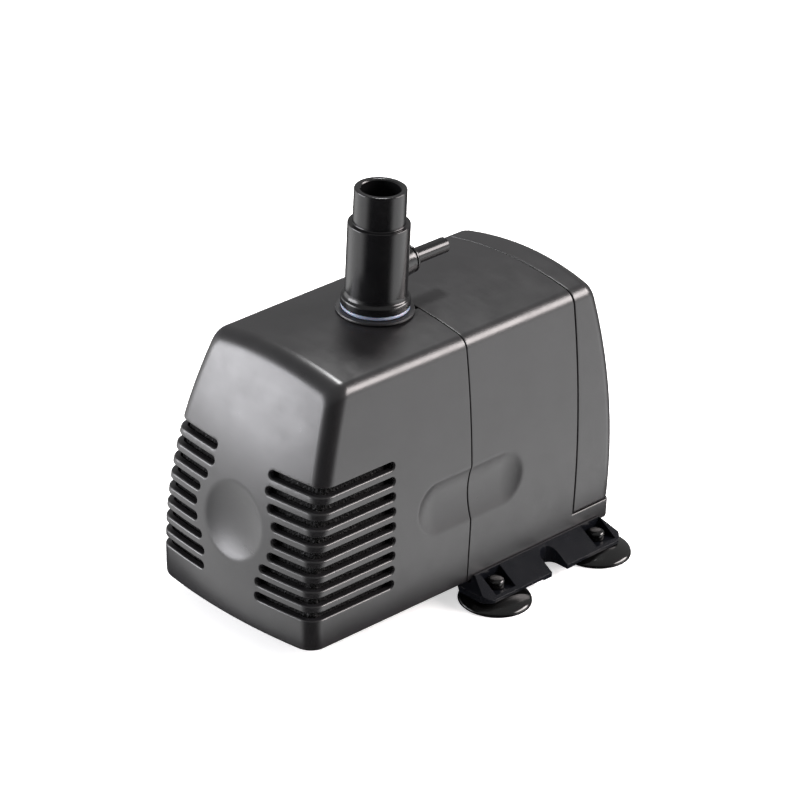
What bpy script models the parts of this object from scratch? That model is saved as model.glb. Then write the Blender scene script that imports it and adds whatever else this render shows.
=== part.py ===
"""Fountain submersible pump: casing, strainer cover, magnet-drive rotor, wound stator, outlet nozzle and feet.

Metres, +Z up. The object stands on its four suction cups at z = 0, its strainer cover faces -Y and the
origin is the centre of its footprint. The rotor turns about an axis along Y.
Run it with: blender --background --python part.py
"""

import math

import bmesh
import bpy
from mathutils import Matrix, Vector

# ---------------------------------------------------------------- driving dimensions
GAP = 0.0003  # between pieces that touch or fit into each other
SEAM_Y = -0.002  # joint plane between strainer cover and motor housing
FRONT_Y = -0.0925  # most forward point of the strainer cover
CAP_SEAM_Y = SEAM_Y + 0.0623  # joint plane between motor housing and rear cap
REAR_Y = SEAM_Y + 0.0913  # most rearward point of the rear cap

BODY_Z = 0.010  # underside of the casing
BODY_HEIGHT = 0.1108
BODY_TOP_Z = BODY_Z + BODY_HEIGHT
BODY_HALF_WIDTH = 0.0448
WAIST = 0.020  # height above the underside where every wall stands upright
SIDE_SWEEP = 1.12  # walls curve inwards from the waist: offset = sweep * (height - waist) ** 2
FRONT_SWEEP = 2.5
REAR_SWEEP = 1.6
FRONT_BOW = 2.0  # end faces bow out across the width: offset = bow * x ** 2
REAR_BOW = 2.5
CROWN = 3.19  # the roof is crowned: drop = crown * x ** 2
ROOF_ROUND = 0.0065  # rounding between roof and sides
FOOT_ROUND = 0.0012  # rounding along the lower edges
END_ROUND = 0.006  # rounding between the end faces and the sides and roof
COVER_TAPER = 0.02  # the strainer cover narrows by this share towards its front
WALL = 0.0026
LEDGE_HEIGHT = 0.0085  # foot of the motor housing that runs back under the rear cap
LEDGE_REAR_Y = SEAM_Y + 0.0856

AXIS_Z = BODY_Z + 0.042  # rotor axis
DISH_RADIUS = 0.016  # round hollow in the cover's front face
DISH_DEPTH = 0.0030
GRIP_LENGTH = 0.060  # finger hollow across the cover's joint, on both sides
GRIP_HEIGHT = 0.0236
GRIP_DEPTH = 0.0023
GRIP_Z = BODY_Z + 0.041

SLOT_COUNT = 9
SLOT_PITCH = 0.00652
SLOT_HEIGHT = 0.0033
SLOT_LOWEST_Z = BODY_Z + 0.0156
SLOT_REAR_Y = SEAM_Y - 0.0427
SLOT_EDGE_X = 0.0149  # inner end of the slots above and below the dish
SLOT_DISH_CLEAR = 0.0215  # distance the slots keep from the centre of the dish

OUTLET_Y = SEAM_Y - 0.0144
COLLAR_RADIUS = 0.0158
NECK_RADIUS = 0.0096  # outlet tube where it passes the roof
COLUMN_RADIUS = 0.0125
TIP_RADIUS = 0.0105
OUTLET_BORE = 0.0080
SHOULDER_Z = BODY_TOP_Z + 0.0381
TIP_Z = BODY_TOP_Z + 0.0527
BARB_Z = BODY_TOP_Z + 0.0165
BARB_RADIUS = 0.0033
BOSS_RADIUS = 0.0060
BARB_END = 0.0380  # distance of the barb's tip from the outlet axis

CUP_X = 0.0498
CUP_Y = (SEAM_Y + 0.0118, SEAM_Y + 0.0720)
CUP_RADIUS = 0.0152
PLATE_Y = (SEAM_Y - 0.0005, SEAM_Y + 0.0817)
PLATE_EDGE_X = 0.0570
PLATE_EDGE_Z = BODY_Z - 0.0042
PLATE_RIM_Z = BODY_Z + 0.0025
PLATE_FOOT_Z = BODY_Z - 0.0056
NOTCH_Y = SEAM_Y + 0.0425
NOTCH_RADIUS = 0.0046
NOTCH_X = 0.0515
POCKET_SIDE = 0.0115
PAD_HALF = 0.0095
PAD_FOOT_Z = PLATE_FOOT_Z - 0.0006

CHAMBER_FRONT_Y = SEAM_Y - 0.0290
CHAMBER_RADIUS = 0.0295
CHAMBER_CAVITY = 0.0260
CHAMBER_FLANGE = 0.0358
SCREW_CIRCLE = 0.0328
SHAFT_RADIUS = 0.0015
MAGNET_RADIUS = 0.0122
CAN_RADIUS = 0.0139
CAN_END_Y = SEAM_Y + 0.0460
CORE_Y = (SEAM_Y + 0.0110, SEAM_Y + 0.0400)
LEG_X = 0.022
LEG_WIDTH = 0.012
COIL_Z = (BODY_Z + 0.0700, BODY_Z + 0.0868)

TURNS = 40  # facets round a medium-sized turned part

model = bpy.data.collections.new("fountain_pump")
cutters = bpy.data.collections.new("cutters")


# ---------------------------------------------------------------- materials
def plastic(name, colour, roughness, metallic=0.0):
    made = bpy.data.materials.new(name)
    made.use_nodes = True
    shader = made.node_tree.nodes["Principled BSDF"]
    shader.inputs["Base Color"].default_value = (*colour, 1.0)
    shader.inputs["Roughness"].default_value = roughness
    shader.inputs["Metallic"].default_value = metallic
    return made


CASING = plastic("casing", (0.075, 0.073, 0.078), 0.34)
GLOSS_BLACK = plastic("gloss_black", (0.018, 0.018, 0.020), 0.22)
BASE_BLACK = plastic("base_black", (0.026, 0.027, 0.031), 0.30)
RUBBER = plastic("rubber", (0.012, 0.012, 0.012), 0.25)
SEAL = plastic("seal", (0.25, 0.28, 0.36), 0.35)
FOAM = plastic("foam", (0.010, 0.010, 0.010), 0.95)
INNER = plastic("inner_plastic", (0.05, 0.05, 0.055), 0.45)
STEEL = plastic("electrical_steel", (0.33, 0.33, 0.35), 0.40, 1.0)
STAINLESS = plastic("stainless", (0.62, 0.62, 0.63), 0.25, 1.0)
COPPER = plastic("copper", (0.60, 0.25, 0.12), 0.35, 1.0)
NYLON = plastic("nylon", (0.75, 0.73, 0.66), 0.5)
MAGNET = plastic("ferrite", (0.045, 0.042, 0.042), 0.55)
CERAMIC = plastic("ceramic", (0.85, 0.84, 0.80), 0.2)
RESIN = plastic("resin", (0.02, 0.02, 0.022), 0.3)


# ---------------------------------------------------------------- building blocks
def add(name, mesh, material=None, smooth_angle=35):
    """Links a mesh as a named piece, or as a cutter when it has no material."""
    piece = bpy.data.objects.new(name, mesh)
    if material is None:
        piece.hide_render = True
        piece.display_type = "WIRE"
        cutters.objects.link(piece)
        return piece
    mesh.materials.append(material)
    mesh.shade_smooth()
    mesh.set_sharp_from_angle(angle=math.radians(smooth_angle))
    model.objects.link(piece)
    return piece


def boolean(piece, other, operation="DIFFERENCE"):
    """Adds a Boolean with one object or with every object of a collection."""
    modifier = piece.modifiers.new(operation.lower(), "BOOLEAN")
    modifier.operation = operation
    modifier.solver = "EXACT"
    if isinstance(other, bpy.types.Collection):
        modifier.operand_type = "COLLECTION"
        modifier.collection = other
    else:
        modifier.object = other
    return piece


def loft(name, rings, material=None, end_point=None):
    """Skins rings of equally many points. The first ring is closed by a flat face, and the last by a
    flat face or by a fan to end_point."""
    bm = bmesh.new()
    loops = [[bm.verts.new(point) for point in ring] for ring in rings]
    for ring, following in zip(loops, loops[1:]):
        for i in range(len(ring)):
            j = (i + 1) % len(ring)
            bm.faces.new((ring[i], ring[j], following[j], following[i]))
    bm.faces.new(reversed(loops[0]))
    if end_point is None:
        bm.faces.new(loops[-1])
    else:
        tip = bm.verts.new(end_point)
        last = loops[-1]
        for i in range(len(last)):
            bm.faces.new((last[i], last[(i + 1) % len(last)], tip))
    bmesh.ops.recalc_face_normals(bm, faces=bm.faces)
    mesh = bpy.data.meshes.new(name)
    bm.to_mesh(mesh)
    bm.free()
    return add(name, mesh, material)


def turned(name, profile, material=None, location=(0, 0, 0), axis="Z", steps=TURNS, closed=False):
    """Turns a profile of (radius, height) points about an axis. The profile runs down its outer side.
    axis is Z, or Y, where heights run towards -Y."""
    bm = bmesh.new()
    points = [bm.verts.new((radius, 0, height)) for radius, height in profile]
    for first, second in zip(points, points[1:]):
        bm.edges.new((first, second))
    if closed:
        bm.edges.new((points[-1], points[0]))
    mesh = bpy.data.meshes.new(name)
    bm.to_mesh(mesh)
    bm.free()
    piece = add(name, mesh, material)
    screw = piece.modifiers.new("screw", "SCREW")
    screw.steps = steps
    screw.render_steps = steps
    screw.use_merge_vertices = True
    screw.merge_threshold = 0.00001
    screw.use_smooth_shade = True
    piece.location = location
    if axis == "Y":
        piece.rotation_euler = (math.pi / 2, 0, 0)
    return piece


def box(name, low, high, material=None, round_edges=None):
    """A box between two corners. round_edges is (test, radius): edges whose ends pass the test are rounded."""
    bm = bmesh.new()
    size = Vector(high) - Vector(low)
    middle = (Vector(high) + Vector(low)) / 2
    place = Matrix.Translation(middle) @ Matrix.Diagonal((*size, 1))
    bmesh.ops.create_cube(bm, size=1, matrix=place)
    if round_edges:
        test, radius = round_edges
        chosen = [edge for edge in bm.edges if all(test(vert.co) for vert in edge.verts)]
        bmesh.ops.bevel(bm, geom=chosen, offset=radius, segments=3, profile=0.5, affect="EDGES")
    mesh = bpy.data.meshes.new(name)
    bm.to_mesh(mesh)
    bm.free()
    return add(name, mesh, material)


def prism(name, outline, low, high, material=None, along="Z"):
    """Extrudes a flat outline between two heights, or between two Y values when along is Y."""
    if along == "Z":
        rings = [[(x, y, level) for x, y in outline] for level in (low, high)]
    elif along == "Y":
        rings = [[(x, level, z) for x, z in outline] for level in (low, high)]
    else:
        rings = [[(level, y, z) for y, z in outline] for level in (low, high)]
    return loft(name, rings, material)


def arc(centre, radius, start, end, steps):
    """Points along an arc, angles in degrees."""
    angles = [math.radians(start + (end - start) * i / steps) for i in range(steps + 1)]
    return [(centre[0] + radius * math.cos(a), centre[1] + radius * math.sin(a)) for a in angles]


# ---------------------------------------------------------------- casing shape
def half_width(height):
    """Half the casing's width at a height above its underside."""
    return BODY_HALF_WIDTH - SIDE_SWEEP * max(0.0, height - WAIST) ** 2


def roof(x):
    return BODY_HEIGHT - CROWN * x * x


def front_face(x, z):
    return FRONT_Y + FRONT_SWEEP * (z - BODY_Z - WAIST) ** 2 + FRONT_BOW * x * x


def rear_face(x, z):
    return REAR_Y - REAR_SWEEP * (z - BODY_Z - WAIST) ** 2 - REAR_BOW * x * x


def section(inset=0.0, floor=0.0):
    """Outline of the casing across its length, as (x, z) points, drawn in by inset all round.
    floor raises its lower edge above the casing's underside."""
    corner = max(ROOF_ROUND - inset, 0.002)
    low = floor + inset
    roof_x, side_z = BODY_HALF_WIDTH * 0.7, BODY_HEIGHT * 0.95
    for _ in range(40):  # settles where the rounding touches the side and the roof
        tilt = math.atan(2 * SIDE_SWEEP * (side_z - WAIST))
        lean = math.atan(2 * CROWN * roof_x)
        centre_x = half_width(side_z) - inset - corner * math.cos(tilt)
        centre_z = roof(roof_x) - inset - corner * math.cos(lean)
        roof_x = centre_x + corner * math.sin(lean)
        side_z = centre_z + corner * math.sin(tilt)
    foot_x = half_width(low) - inset
    right = [(foot_x * 0.5, low)]
    right += arc((foot_x - FOOT_ROUND, low + FOOT_ROUND), FOOT_ROUND, -90, 0, 2)
    first, side_steps = low + FOOT_ROUND, 6
    for i in range(1, side_steps):
        height = first + (side_z - first) * i / side_steps
        right.append((half_width(height) - inset, height))
    right += arc((centre_x, centre_z), corner, math.degrees(tilt), 90 - math.degrees(lean), 4)
    crown_steps = 3
    for i in range(1, crown_steps):
        x = roof_x * (1 - i / crown_steps)
        right.append((x, roof(x) - inset))
    top, bottom = [(0.0, roof(0) - inset)], [(0.0, low)]
    left = [(-x, z) for x, z in reversed(right)]
    return [(x, z + BODY_Z) for x, z in bottom + right + top + left]


def ending(outline, face, outward, inset, taper=None):
    """Rings that close the casing with a rounded end on a bowed face, and the face's middle point.
    outward is -1 for the front and 1 for the rear."""
    half = max(x for x, z in outline)
    low = min(z for x, z in outline)
    tall = max(z for x, z in outline) - low
    round_steps = 4
    bend = max(END_ROUND - inset, 0.0008)
    rings = []
    for step in range(round_steps + 1):
        angle = math.pi / 2 * step / round_steps
        shrink = bend * (1 - math.cos(angle))
        back = bend * (1 - math.sin(angle)) + inset
        ring = []
        for x, z in outline:
            px = x * (1 - shrink / half) * (1 - (taper or 0))
            pz = low + (z - low) * (1 - shrink / tall)
            ring.append((px, face(px, pz) - outward * back, pz))
        rings.append(ring)
    last = rings[-1]
    middle_z = low + 0.45 * tall
    for share in (0.72, 0.43, 0.16):
        ring = []
        for x, _, z in last:
            px, pz = x * share, middle_z + (z - middle_z) * share
            ring.append((px, face(px, pz) - outward * inset, pz))
        rings.append(ring)
    return rings, (0.0, face(0, middle_z) - outward * inset, middle_z)


def capsule(name, radius, half_length, location):
    """A round-ended cylinder along Y."""
    steps = 12
    upper = arc((0, half_length), radius, 90, 0, steps)
    lower = arc((0, -half_length), radius, 0, -90, steps)
    return turned(name, upper + lower, location=location, axis="Y", steps=72)


def grip_cutters(prefix):
    """Capsules that sink the finger hollows into both sides."""
    half_height = GRIP_HEIGHT / 2
    radius = (half_height**2 + GRIP_DEPTH**2) / (2 * GRIP_DEPTH)
    surface_x = half_width(GRIP_Z - BODY_Z)
    x = surface_x - GRIP_DEPTH + radius
    half_length = GRIP_LENGTH / 2 - half_height
    return [capsule(f"{prefix}_grip_{side}", radius, half_length, (side * x, SEAM_Y, GRIP_Z)) for side in (-1, 1)]


# ---------------------------------------------------------------- strainer cover and foam
def slot_end(z):
    """Inner end of a slot: the slots stop short of the dish in the front face."""
    above = abs(z - AXIS_Z)
    clear = math.sqrt(max(0.0, SLOT_DISH_CLEAR**2 - above**2))
    return max(SLOT_EDGE_X, clear)


def make_strainer_cover():
    outline = section()
    rings, middle = ending(outline, front_face, -1, 0.0, COVER_TAPER)
    seam_ring = [(x, SEAM_Y - GAP / 2, z) for x, z in outline]
    cover = loft("strainer_cover", [seam_ring] + rings, CASING, middle)

    hollow_outline = section(WALL)
    hollow_rings, hollow_middle = ending(hollow_outline, front_face, -1, WALL, COVER_TAPER)
    open_ring = [(x, SEAM_Y + 0.002, z) for x, z in hollow_outline]
    boolean(cover, loft("cover_hollow", [open_ring] + hollow_rings, None, hollow_middle))

    lean = math.atan(2 * FRONT_SWEEP * (AXIS_Z - BODY_Z - WAIST))  # the face leans back at the dish
    outward = Vector((0, -math.cos(lean), math.sin(lean)))
    face_centre = Vector((0, front_face(0, AXIS_Z), AXIS_Z))
    edge = DISH_RADIUS + 0.0015
    backing = turned("dish_backing", [(0, -0.0013), (edge, -0.0013), (edge, -DISH_DEPTH - WALL),
                                      (0, -DISH_DEPTH - WALL)], location=face_centre, axis="Y")
    backing.rotation_euler.x -= lean
    boolean(cover, backing, "UNION")
    sag = DISH_DEPTH - (FRONT_SWEEP + FRONT_BOW) / 2 * DISH_RADIUS**2
    ball_radius = (DISH_RADIUS**2 + sag**2) / (2 * sag)
    ball = turned("dish_ball", arc((0, 0), ball_radius, 90, -90, 44), axis="Y", steps=48,
                  location=face_centre + outward * (ball_radius - DISH_DEPTH))
    boolean(cover, ball)

    slots = bpy.data.collections.new("slots")
    cutters.children.link(slots)
    half = SLOT_HEIGHT / 2
    for level in range(SLOT_COUNT):
        z = SLOT_LOWEST_Z + SLOT_PITCH * level
        inner = slot_end(z)
        for side in (-1, 1):
            ends = sorted((side * inner, side * 0.060))
            slot = box(f"slot_{level}_{side}", (ends[0], -0.110, z - half), (ends[1], SLOT_REAR_Y, z + half), None,
                       (lambda co, e=side * inner: abs(co.x - e) < 1e-6 or abs(co.y - SLOT_REAR_Y) < 1e-6,
                        half * 0.96))
            cutters.objects.unlink(slot)
            slots.objects.link(slot)
    boolean(cover, slots)

    neck = NECK_RADIUS + 0.0005  # slot in the roof for the outlet's neck, open to the joint
    mouth = arc((0, OUTLET_Y), neck, 180, 360, 16) + [(neck, SEAM_Y + 0.002), (-neck, SEAM_Y + 0.002)]
    boolean(cover, prism("neck_slot", mouth, BODY_TOP_Z - 0.008, BODY_TOP_Z + 0.004))
    for grip in grip_cutters("cover"):
        boolean(cover, grip)
    return cover


def make_filter_foam():
    outline = section(WALL + 0.0009)
    rings, middle = ending(outline, front_face, -1, WALL + 0.0042, COVER_TAPER)
    back = [(x * (1 - COVER_TAPER / 2), CHAMBER_FRONT_Y - 0.0060, z) for x, z in outline]
    return loft("filter_foam", [back] + rings, FOAM, middle)


# ---------------------------------------------------------------- motor housing, rear cap and base plate
def make_motor_housing():
    outline = section()
    rings = [[(x, y, z) for x, z in outline] for y in (SEAM_Y + GAP / 2, CAP_SEAM_Y)]
    housing = loft("motor_housing", rings, CASING)

    ledge_x = half_width(0)
    corner = 0.0035
    ledge = [(-ledge_x, CAP_SEAM_Y - 0.004), (ledge_x, CAP_SEAM_Y - 0.004)]
    ledge += arc((ledge_x - corner, LEDGE_REAR_Y - corner), corner, 0, 80, 4)
    ledge += [(0.020, LEDGE_REAR_Y + 0.0022), (-0.020, LEDGE_REAR_Y + 0.0022)]
    ledge += arc((corner - ledge_x, LEDGE_REAR_Y - corner), corner, 100, 180, 4)
    boolean(housing, prism("ledge", ledge, BODY_Z, BODY_Z + LEDGE_HEIGHT), "UNION")

    lip_outline = section(WALL + GAP)
    lip_rings = [[(x, y, z) for x, z in lip_outline] for y in (SEAM_Y - 0.006, SEAM_Y + 0.002)]
    boolean(housing, loft("cover_lip", lip_rings), "UNION")
    lip_hollow = section(WALL + GAP + 0.002)
    hollow_rings = [[(x, y, z) for x, z in lip_hollow] for y in (SEAM_Y - 0.008, SEAM_Y + GAP / 2)]
    boolean(housing, loft("lip_hollow", hollow_rings))

    inner = section(WALL + 0.0002)
    inner_rings = [[(x, y, z) for x, z in inner] for y in (SEAM_Y + 0.003, CAP_SEAM_Y + 0.001)]
    boolean(housing, loft("motor_space", inner_rings))

    for index, (x, z) in enumerate(screw_places()):
        boss = turned(f"screw_boss_{index}", [(0, 0), (0.0040, 0), (0.0040, -0.0085), (0, -0.0085)],
                      location=(x, SEAM_Y + 0.0015, z), axis="Y", steps=20)
        boolean(housing, boss, "UNION")
        hole = turned(f"screw_hole_{index}", [(0, 0.012), (0.0018, 0.012), (0.0018, -0.0075), (0, -0.0075)],
                      location=(x, SEAM_Y, z), axis="Y", steps=16)
        boolean(housing, hole)
    can_hole = CAN_RADIUS + GAP
    boolean(housing, turned("can_hole", [(0, 0.01), (can_hole, 0.01), (can_hole, -0.01), (0, -0.01)],
                            location=(0, SEAM_Y, AXIS_Z), axis="Y"))
    neck = NECK_RADIUS + 0.0005
    boolean(housing, turned("lip_neck", [(0, 0.02), (neck, 0.02), (neck, -0.02), (0, -0.02)],
                            location=(0, OUTLET_Y, BODY_TOP_Z)))
    for grip in grip_cutters("housing"):
        boolean(housing, grip)
    return housing


def make_rear_cap():
    floor = LEDGE_HEIGHT + GAP
    outline = section(0.0, floor)
    rings, middle = ending(outline, rear_face, 1, 0.0)
    seam_ring = [(x, CAP_SEAM_Y + GAP, z) for x, z in outline]
    cap = loft("rear_cap", [seam_ring] + rings, CASING, middle)
    hollow_outline = section(WALL + 0.0014, floor)
    hollow_rings, hollow_middle = ending(hollow_outline, rear_face, 1, WALL)
    open_ring = [(x, CAP_SEAM_Y - 0.002, z) for x, z in hollow_outline]
    boolean(cap, loft("cap_hollow", [open_ring] + hollow_rings, None, hollow_middle))

    lip = section(WALL + 0.0002 + GAP, floor)
    lip_rings = [[(x, y, z) for x, z in lip] for y in (CAP_SEAM_Y - 0.0035, CAP_SEAM_Y + 0.003)]
    boolean(cap, loft("cap_lip", lip_rings), "UNION")
    lip_hollow = section(WALL + 0.0022 + GAP, floor)
    hollow_rings = [[(x, y, z) for x, z in lip_hollow] for y in (CAP_SEAM_Y - 0.005, CAP_SEAM_Y + 0.005)]
    boolean(cap, loft("cap_lip_hollow", hollow_rings))
    hole = 0.0059
    boolean(cap, turned("gland_hole", [(0, 0.02), (hole, 0.02), (hole, -0.02), (0, -0.02)],
                        location=(0, REAR_Y, GLAND_Z), axis="Y", steps=32))
    return cap


def plate_plan():
    """Outline of the base plate from above, with a screw notch in each side."""
    front, rear = PLATE_Y
    corner = 0.005
    right = arc((PLATE_EDGE_X - corner, front + corner), corner, -90, 0, 4)
    right += [(PLATE_EDGE_X, NOTCH_Y - NOTCH_RADIUS)]
    right += arc((NOTCH_X, NOTCH_Y), NOTCH_RADIUS, 270, 90, 12)
    right += [(PLATE_EDGE_X, NOTCH_Y + NOTCH_RADIUS)]
    right += arc((PLATE_EDGE_X - corner, rear - corner), corner, 0, 90, 4)
    return right + [(-x, y) for x, y in reversed(right)]


def make_base_plate():
    inner_x = half_width(0) + GAP
    bed = BODY_Z - GAP
    right = [(PLATE_EDGE_X + 0.001, PLATE_FOOT_Z), (PLATE_EDGE_X + 0.001, PLATE_EDGE_Z - 0.0006),
             (inner_x + 0.0008, PLATE_RIM_Z), (inner_x, PLATE_RIM_Z), (inner_x, bed)]
    hollow = [(0.0400, bed - 0.0026), (0.0412, PLATE_FOOT_Z)]
    across = right + [(-x, z) for x, z in reversed(right)] + [(-x, z) for x, z in reversed(hollow)] + hollow
    plate = prism("base_plate", across, PLATE_Y[0] - 0.002, PLATE_Y[1] + 0.002, BASE_BLACK, along="Y")
    for side in (-1, 1):  # a pad under each notch, for a screw to clamp down on
        ends = sorted((side * 0.0445, side * (PLATE_EDGE_X + 0.001)))
        boolean(plate, box(f"pad_{side}", (ends[0], NOTCH_Y - PAD_HALF, PAD_FOOT_Z),
                           (ends[1], NOTCH_Y + PAD_HALF, PLATE_FOOT_Z + 0.001)), "UNION")
    boolean(plate, prism("plate_plan", plate_plan(), 0, 0.020), "INTERSECT")
    front, rear = PLATE_Y
    hip = [(front - 0.001, 0), (front - 0.001, PLATE_EDGE_Z), (front + 0.0042, PLATE_RIM_Z + 0.0006),
           (rear - 0.0042, PLATE_RIM_Z + 0.0006), (rear + 0.001, PLATE_EDGE_Z), (rear + 0.001, 0)]
    boolean(plate, prism("plate_hip", hip, -0.060, 0.060, along="X"), "INTERSECT")
    for side in (-1, 1):
        for place, y in enumerate(CUP_Y):
            half = POCKET_SIDE / 2
            outer = PLATE_EDGE_X - 0.0014
            ends = sorted((side * (outer - POCKET_SIDE + 0.0018), side * outer))
            boolean(plate, box(f"pocket_{side}_{place}", (ends[0], y - half, POCKET_FLOOR_Z),
                               (ends[1], y + half, 0.020)))
            hole = CUP_NECK + GAP
            boolean(plate, turned(f"cup_hole_{side}_{place}", [(0, 0.02), (hole, 0.02), (hole, 0), (0, 0)],
                                  location=(side * CUP_X, y, 0), steps=24))
    return plate


# ---------------------------------------------------------------- suction cups
POCKET_FLOOR_Z = 0.0062
CUP_NECK = 0.0032


def make_suction_cups():
    profile = [(0, 0.0102), (0.0028, 0.0100), (0.0036, 0.0090), (0.0036, POCKET_FLOOR_Z + GAP),
               (CUP_NECK, POCKET_FLOOR_Z + GAP), (CUP_NECK, 0.0040), (0.0080, 0.0036), (0.0120, 0.0023),
               (CUP_RADIUS, 0.0005), (CUP_RADIUS, 0.0), (0.0132, 0.0), (0.0090, 0.0013), (0, 0.0019)]
    for side, left_or_right in ((-1, "left"), (1, "right")):
        for y, end in zip(CUP_Y, ("front", "rear")):
            turned(f"suction_cup_{end}_{left_or_right}", profile, RUBBER, (side * CUP_X, y, 0), steps=28)


# ---------------------------------------------------------------- pump chamber
def screw_places():
    step = SCREW_CIRCLE * math.sqrt(0.5)
    return [(x * step, AXIS_Z + z * step) for x in (-1, 1) for z in (-1, 1)]


def make_pump_chamber():
    depth = SEAM_Y - GAP / 2 - CHAMBER_FRONT_Y
    outer = [(0, depth), (CHAMBER_RADIUS, depth), (CHAMBER_RADIUS, 0.0035), (CHAMBER_FLANGE, 0.0035),
             (CHAMBER_FLANGE, 0), (0.0294, 0), (0.0294, 0.0018), (0.0270, 0.0018), (0.0270, 0), (0, 0)]
    chamber = turned("pump_chamber", outer, INNER, (0, SEAM_Y - GAP / 2, AXIS_Z), axis="Y", steps=48)
    spigot = 0.0102
    tube = [(0, BODY_TOP_Z + 0.0110), (spigot - 0.0008, BODY_TOP_Z + 0.0110), (spigot, BODY_TOP_Z + 0.0102),
            (spigot, BODY_TOP_Z + 0.0012), (COLLAR_RADIUS - 0.0005, BODY_TOP_Z + 0.0012),
            (COLLAR_RADIUS, BODY_TOP_Z + 0.0007), (COLLAR_RADIUS, BODY_TOP_Z + GAP),
            (NECK_RADIUS, BODY_TOP_Z + GAP), (NECK_RADIUS, AXIS_Z + 0.020), (0, AXIS_Z + 0.020)]
    boolean(chamber, turned("outlet_tube", tube, location=(0, OUTLET_Y, 0), steps=36), "UNION")
    cavity = [(0, depth + 0.01), (CHAMBER_CAVITY, depth + 0.01), (CHAMBER_CAVITY, -0.01), (0, -0.01)]
    boolean(chamber, turned("cavity", cavity, location=(0, SEAM_Y, AXIS_Z), axis="Y", steps=46))
    bore = [(0, 0.150), (OUTLET_BORE, 0.150), (OUTLET_BORE, AXIS_Z + 0.010), (0, AXIS_Z + 0.010)]
    boolean(chamber, turned("outlet_bore", bore, location=(0, OUTLET_Y, 0), steps=32))
    for index, (x, z) in enumerate(screw_places()):
        hole = turned(f"flange_hole_{index}", [(0, 0.02), (0.0018, 0.02), (0.0018, -0.02), (0, -0.02)],
                      location=(x, SEAM_Y, z), axis="Y", steps=16)
        boolean(chamber, hole)
    return chamber


def ring_profile(radius, thickness, steps=8):
    """Round cross-section of a sealing ring, running down its outer side."""
    return arc((radius, 0), thickness, 90, -270, steps)[:-1]


def make_chamber_details():
    turned("chamber_seal", ring_profile(0.0282, 0.0006), SEAL, (0, SEAM_Y - 0.0009, AXIS_Z), axis="Y",
           steps=48, closed=True)
    cover = turned("chamber_cover", [(CHAMBER_RADIUS, 0.0034), (CHAMBER_RADIUS, 0), (0.0100, 0), (0.0100, 0.0046),
                                     (0.0120, 0.0046), (0.0120, 0.0034)],
                   INNER, (0, CHAMBER_FRONT_Y - GAP, AXIS_Z), axis="Y", steps=48, closed=True)
    hub = turned("bearing_hub", [(0.0052, 0.0046), (0.0052, -0.0016), (0.0034, -0.0016), (0.0034, 0.0046)],
                 location=(0, CHAMBER_FRONT_Y - GAP, AXIS_Z), axis="Y", steps=24, closed=True)
    for index in range(3):
        angle = math.radians(90 + 120 * index)
        spoke = box(f"spoke_{index}", (0.0042, -0.0036, -0.0010), (0.0110, -0.0006, 0.0010))
        spoke.location = (0, CHAMBER_FRONT_Y - GAP, AXIS_Z)
        spoke.rotation_euler = (0, angle, 0)
        boolean(cover, spoke, "UNION")
    boolean(cover, hub, "UNION")

    screw = [(0, 0.0062), (0.0020, 0.0060), (0.0026, 0.0052), (0.0026, 0.0038), (0.0014, 0.0038),
             (0.0014, -0.0062), (0, -0.0072)]
    for index, (x, z) in enumerate(screw_places()):
        turned(f"chamber_screw_{index + 1}", screw, STAINLESS, (x, SEAM_Y - GAP / 2, z), axis="Y", steps=16)


# ---------------------------------------------------------------- rotor, its can and its bearings
def make_rotor_can():
    inner = CAN_RADIUS - 0.0010
    length = CAN_END_Y - SEAM_Y
    profile = [(0, 0.0012 - length), (0.0034, 0.0012 - length), (0.0034, 0.0052 - length),
               (0.0052, 0.0052 - length), (0.0052, 0.0020 - length), (inner, 0.0020 - length), (inner, 0.0018),
               (0.0190, 0.0018), (0.0190, GAP), (CAN_RADIUS, GAP), (CAN_RADIUS, -length), (0, -length)]
    profile = [(radius, height + GAP) for radius, height in profile]
    return turned("rotor_can", profile, INNER, (0, SEAM_Y, AXIS_Z), axis="Y")


def make_bearings():
    front_y = CHAMBER_FRONT_Y - GAP
    turned("bearing_bush_front", [(0.0031, 0.0044), (0.0031, -0.0014), (0.0018, -0.0014), (0.0018, 0.0044)],
           RUBBER, (0, front_y, AXIS_Z), axis="Y", steps=24, closed=True)
    rear = CAN_END_Y - GAP
    turned("bearing_bush_rear", [(0.0031, 0.0052), (0.0031, 0.0016), (0.0018, 0.0016), (0.0018, 0.0052)],
           RUBBER, (0, rear, AXIS_Z), axis="Y", steps=24, closed=True)
    rod = [(0, 0.0326), (0.0012, 0.0326), (SHAFT_RADIUS, 0.0323), (SHAFT_RADIUS, -0.0436), (0.0012, -0.0439),
           (0, -0.0439)]
    turned("rotor_shaft", rod, CERAMIC, (0, SEAM_Y, AXIS_Z), axis="Y", steps=20)
    washer = [(0.0040, 0.0005), (0.0040, -0.0005), (0.0018, -0.0005), (0.0018, 0.0005)]
    turned("thrust_washer_front", washer, CERAMIC, (0, SEAM_Y - 0.0267, AXIS_Z), axis="Y", steps=24, closed=True)
    turned("thrust_washer_rear", washer, CERAMIC, (0, SEAM_Y + 0.0398, AXIS_Z), axis="Y", steps=24, closed=True)


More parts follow.
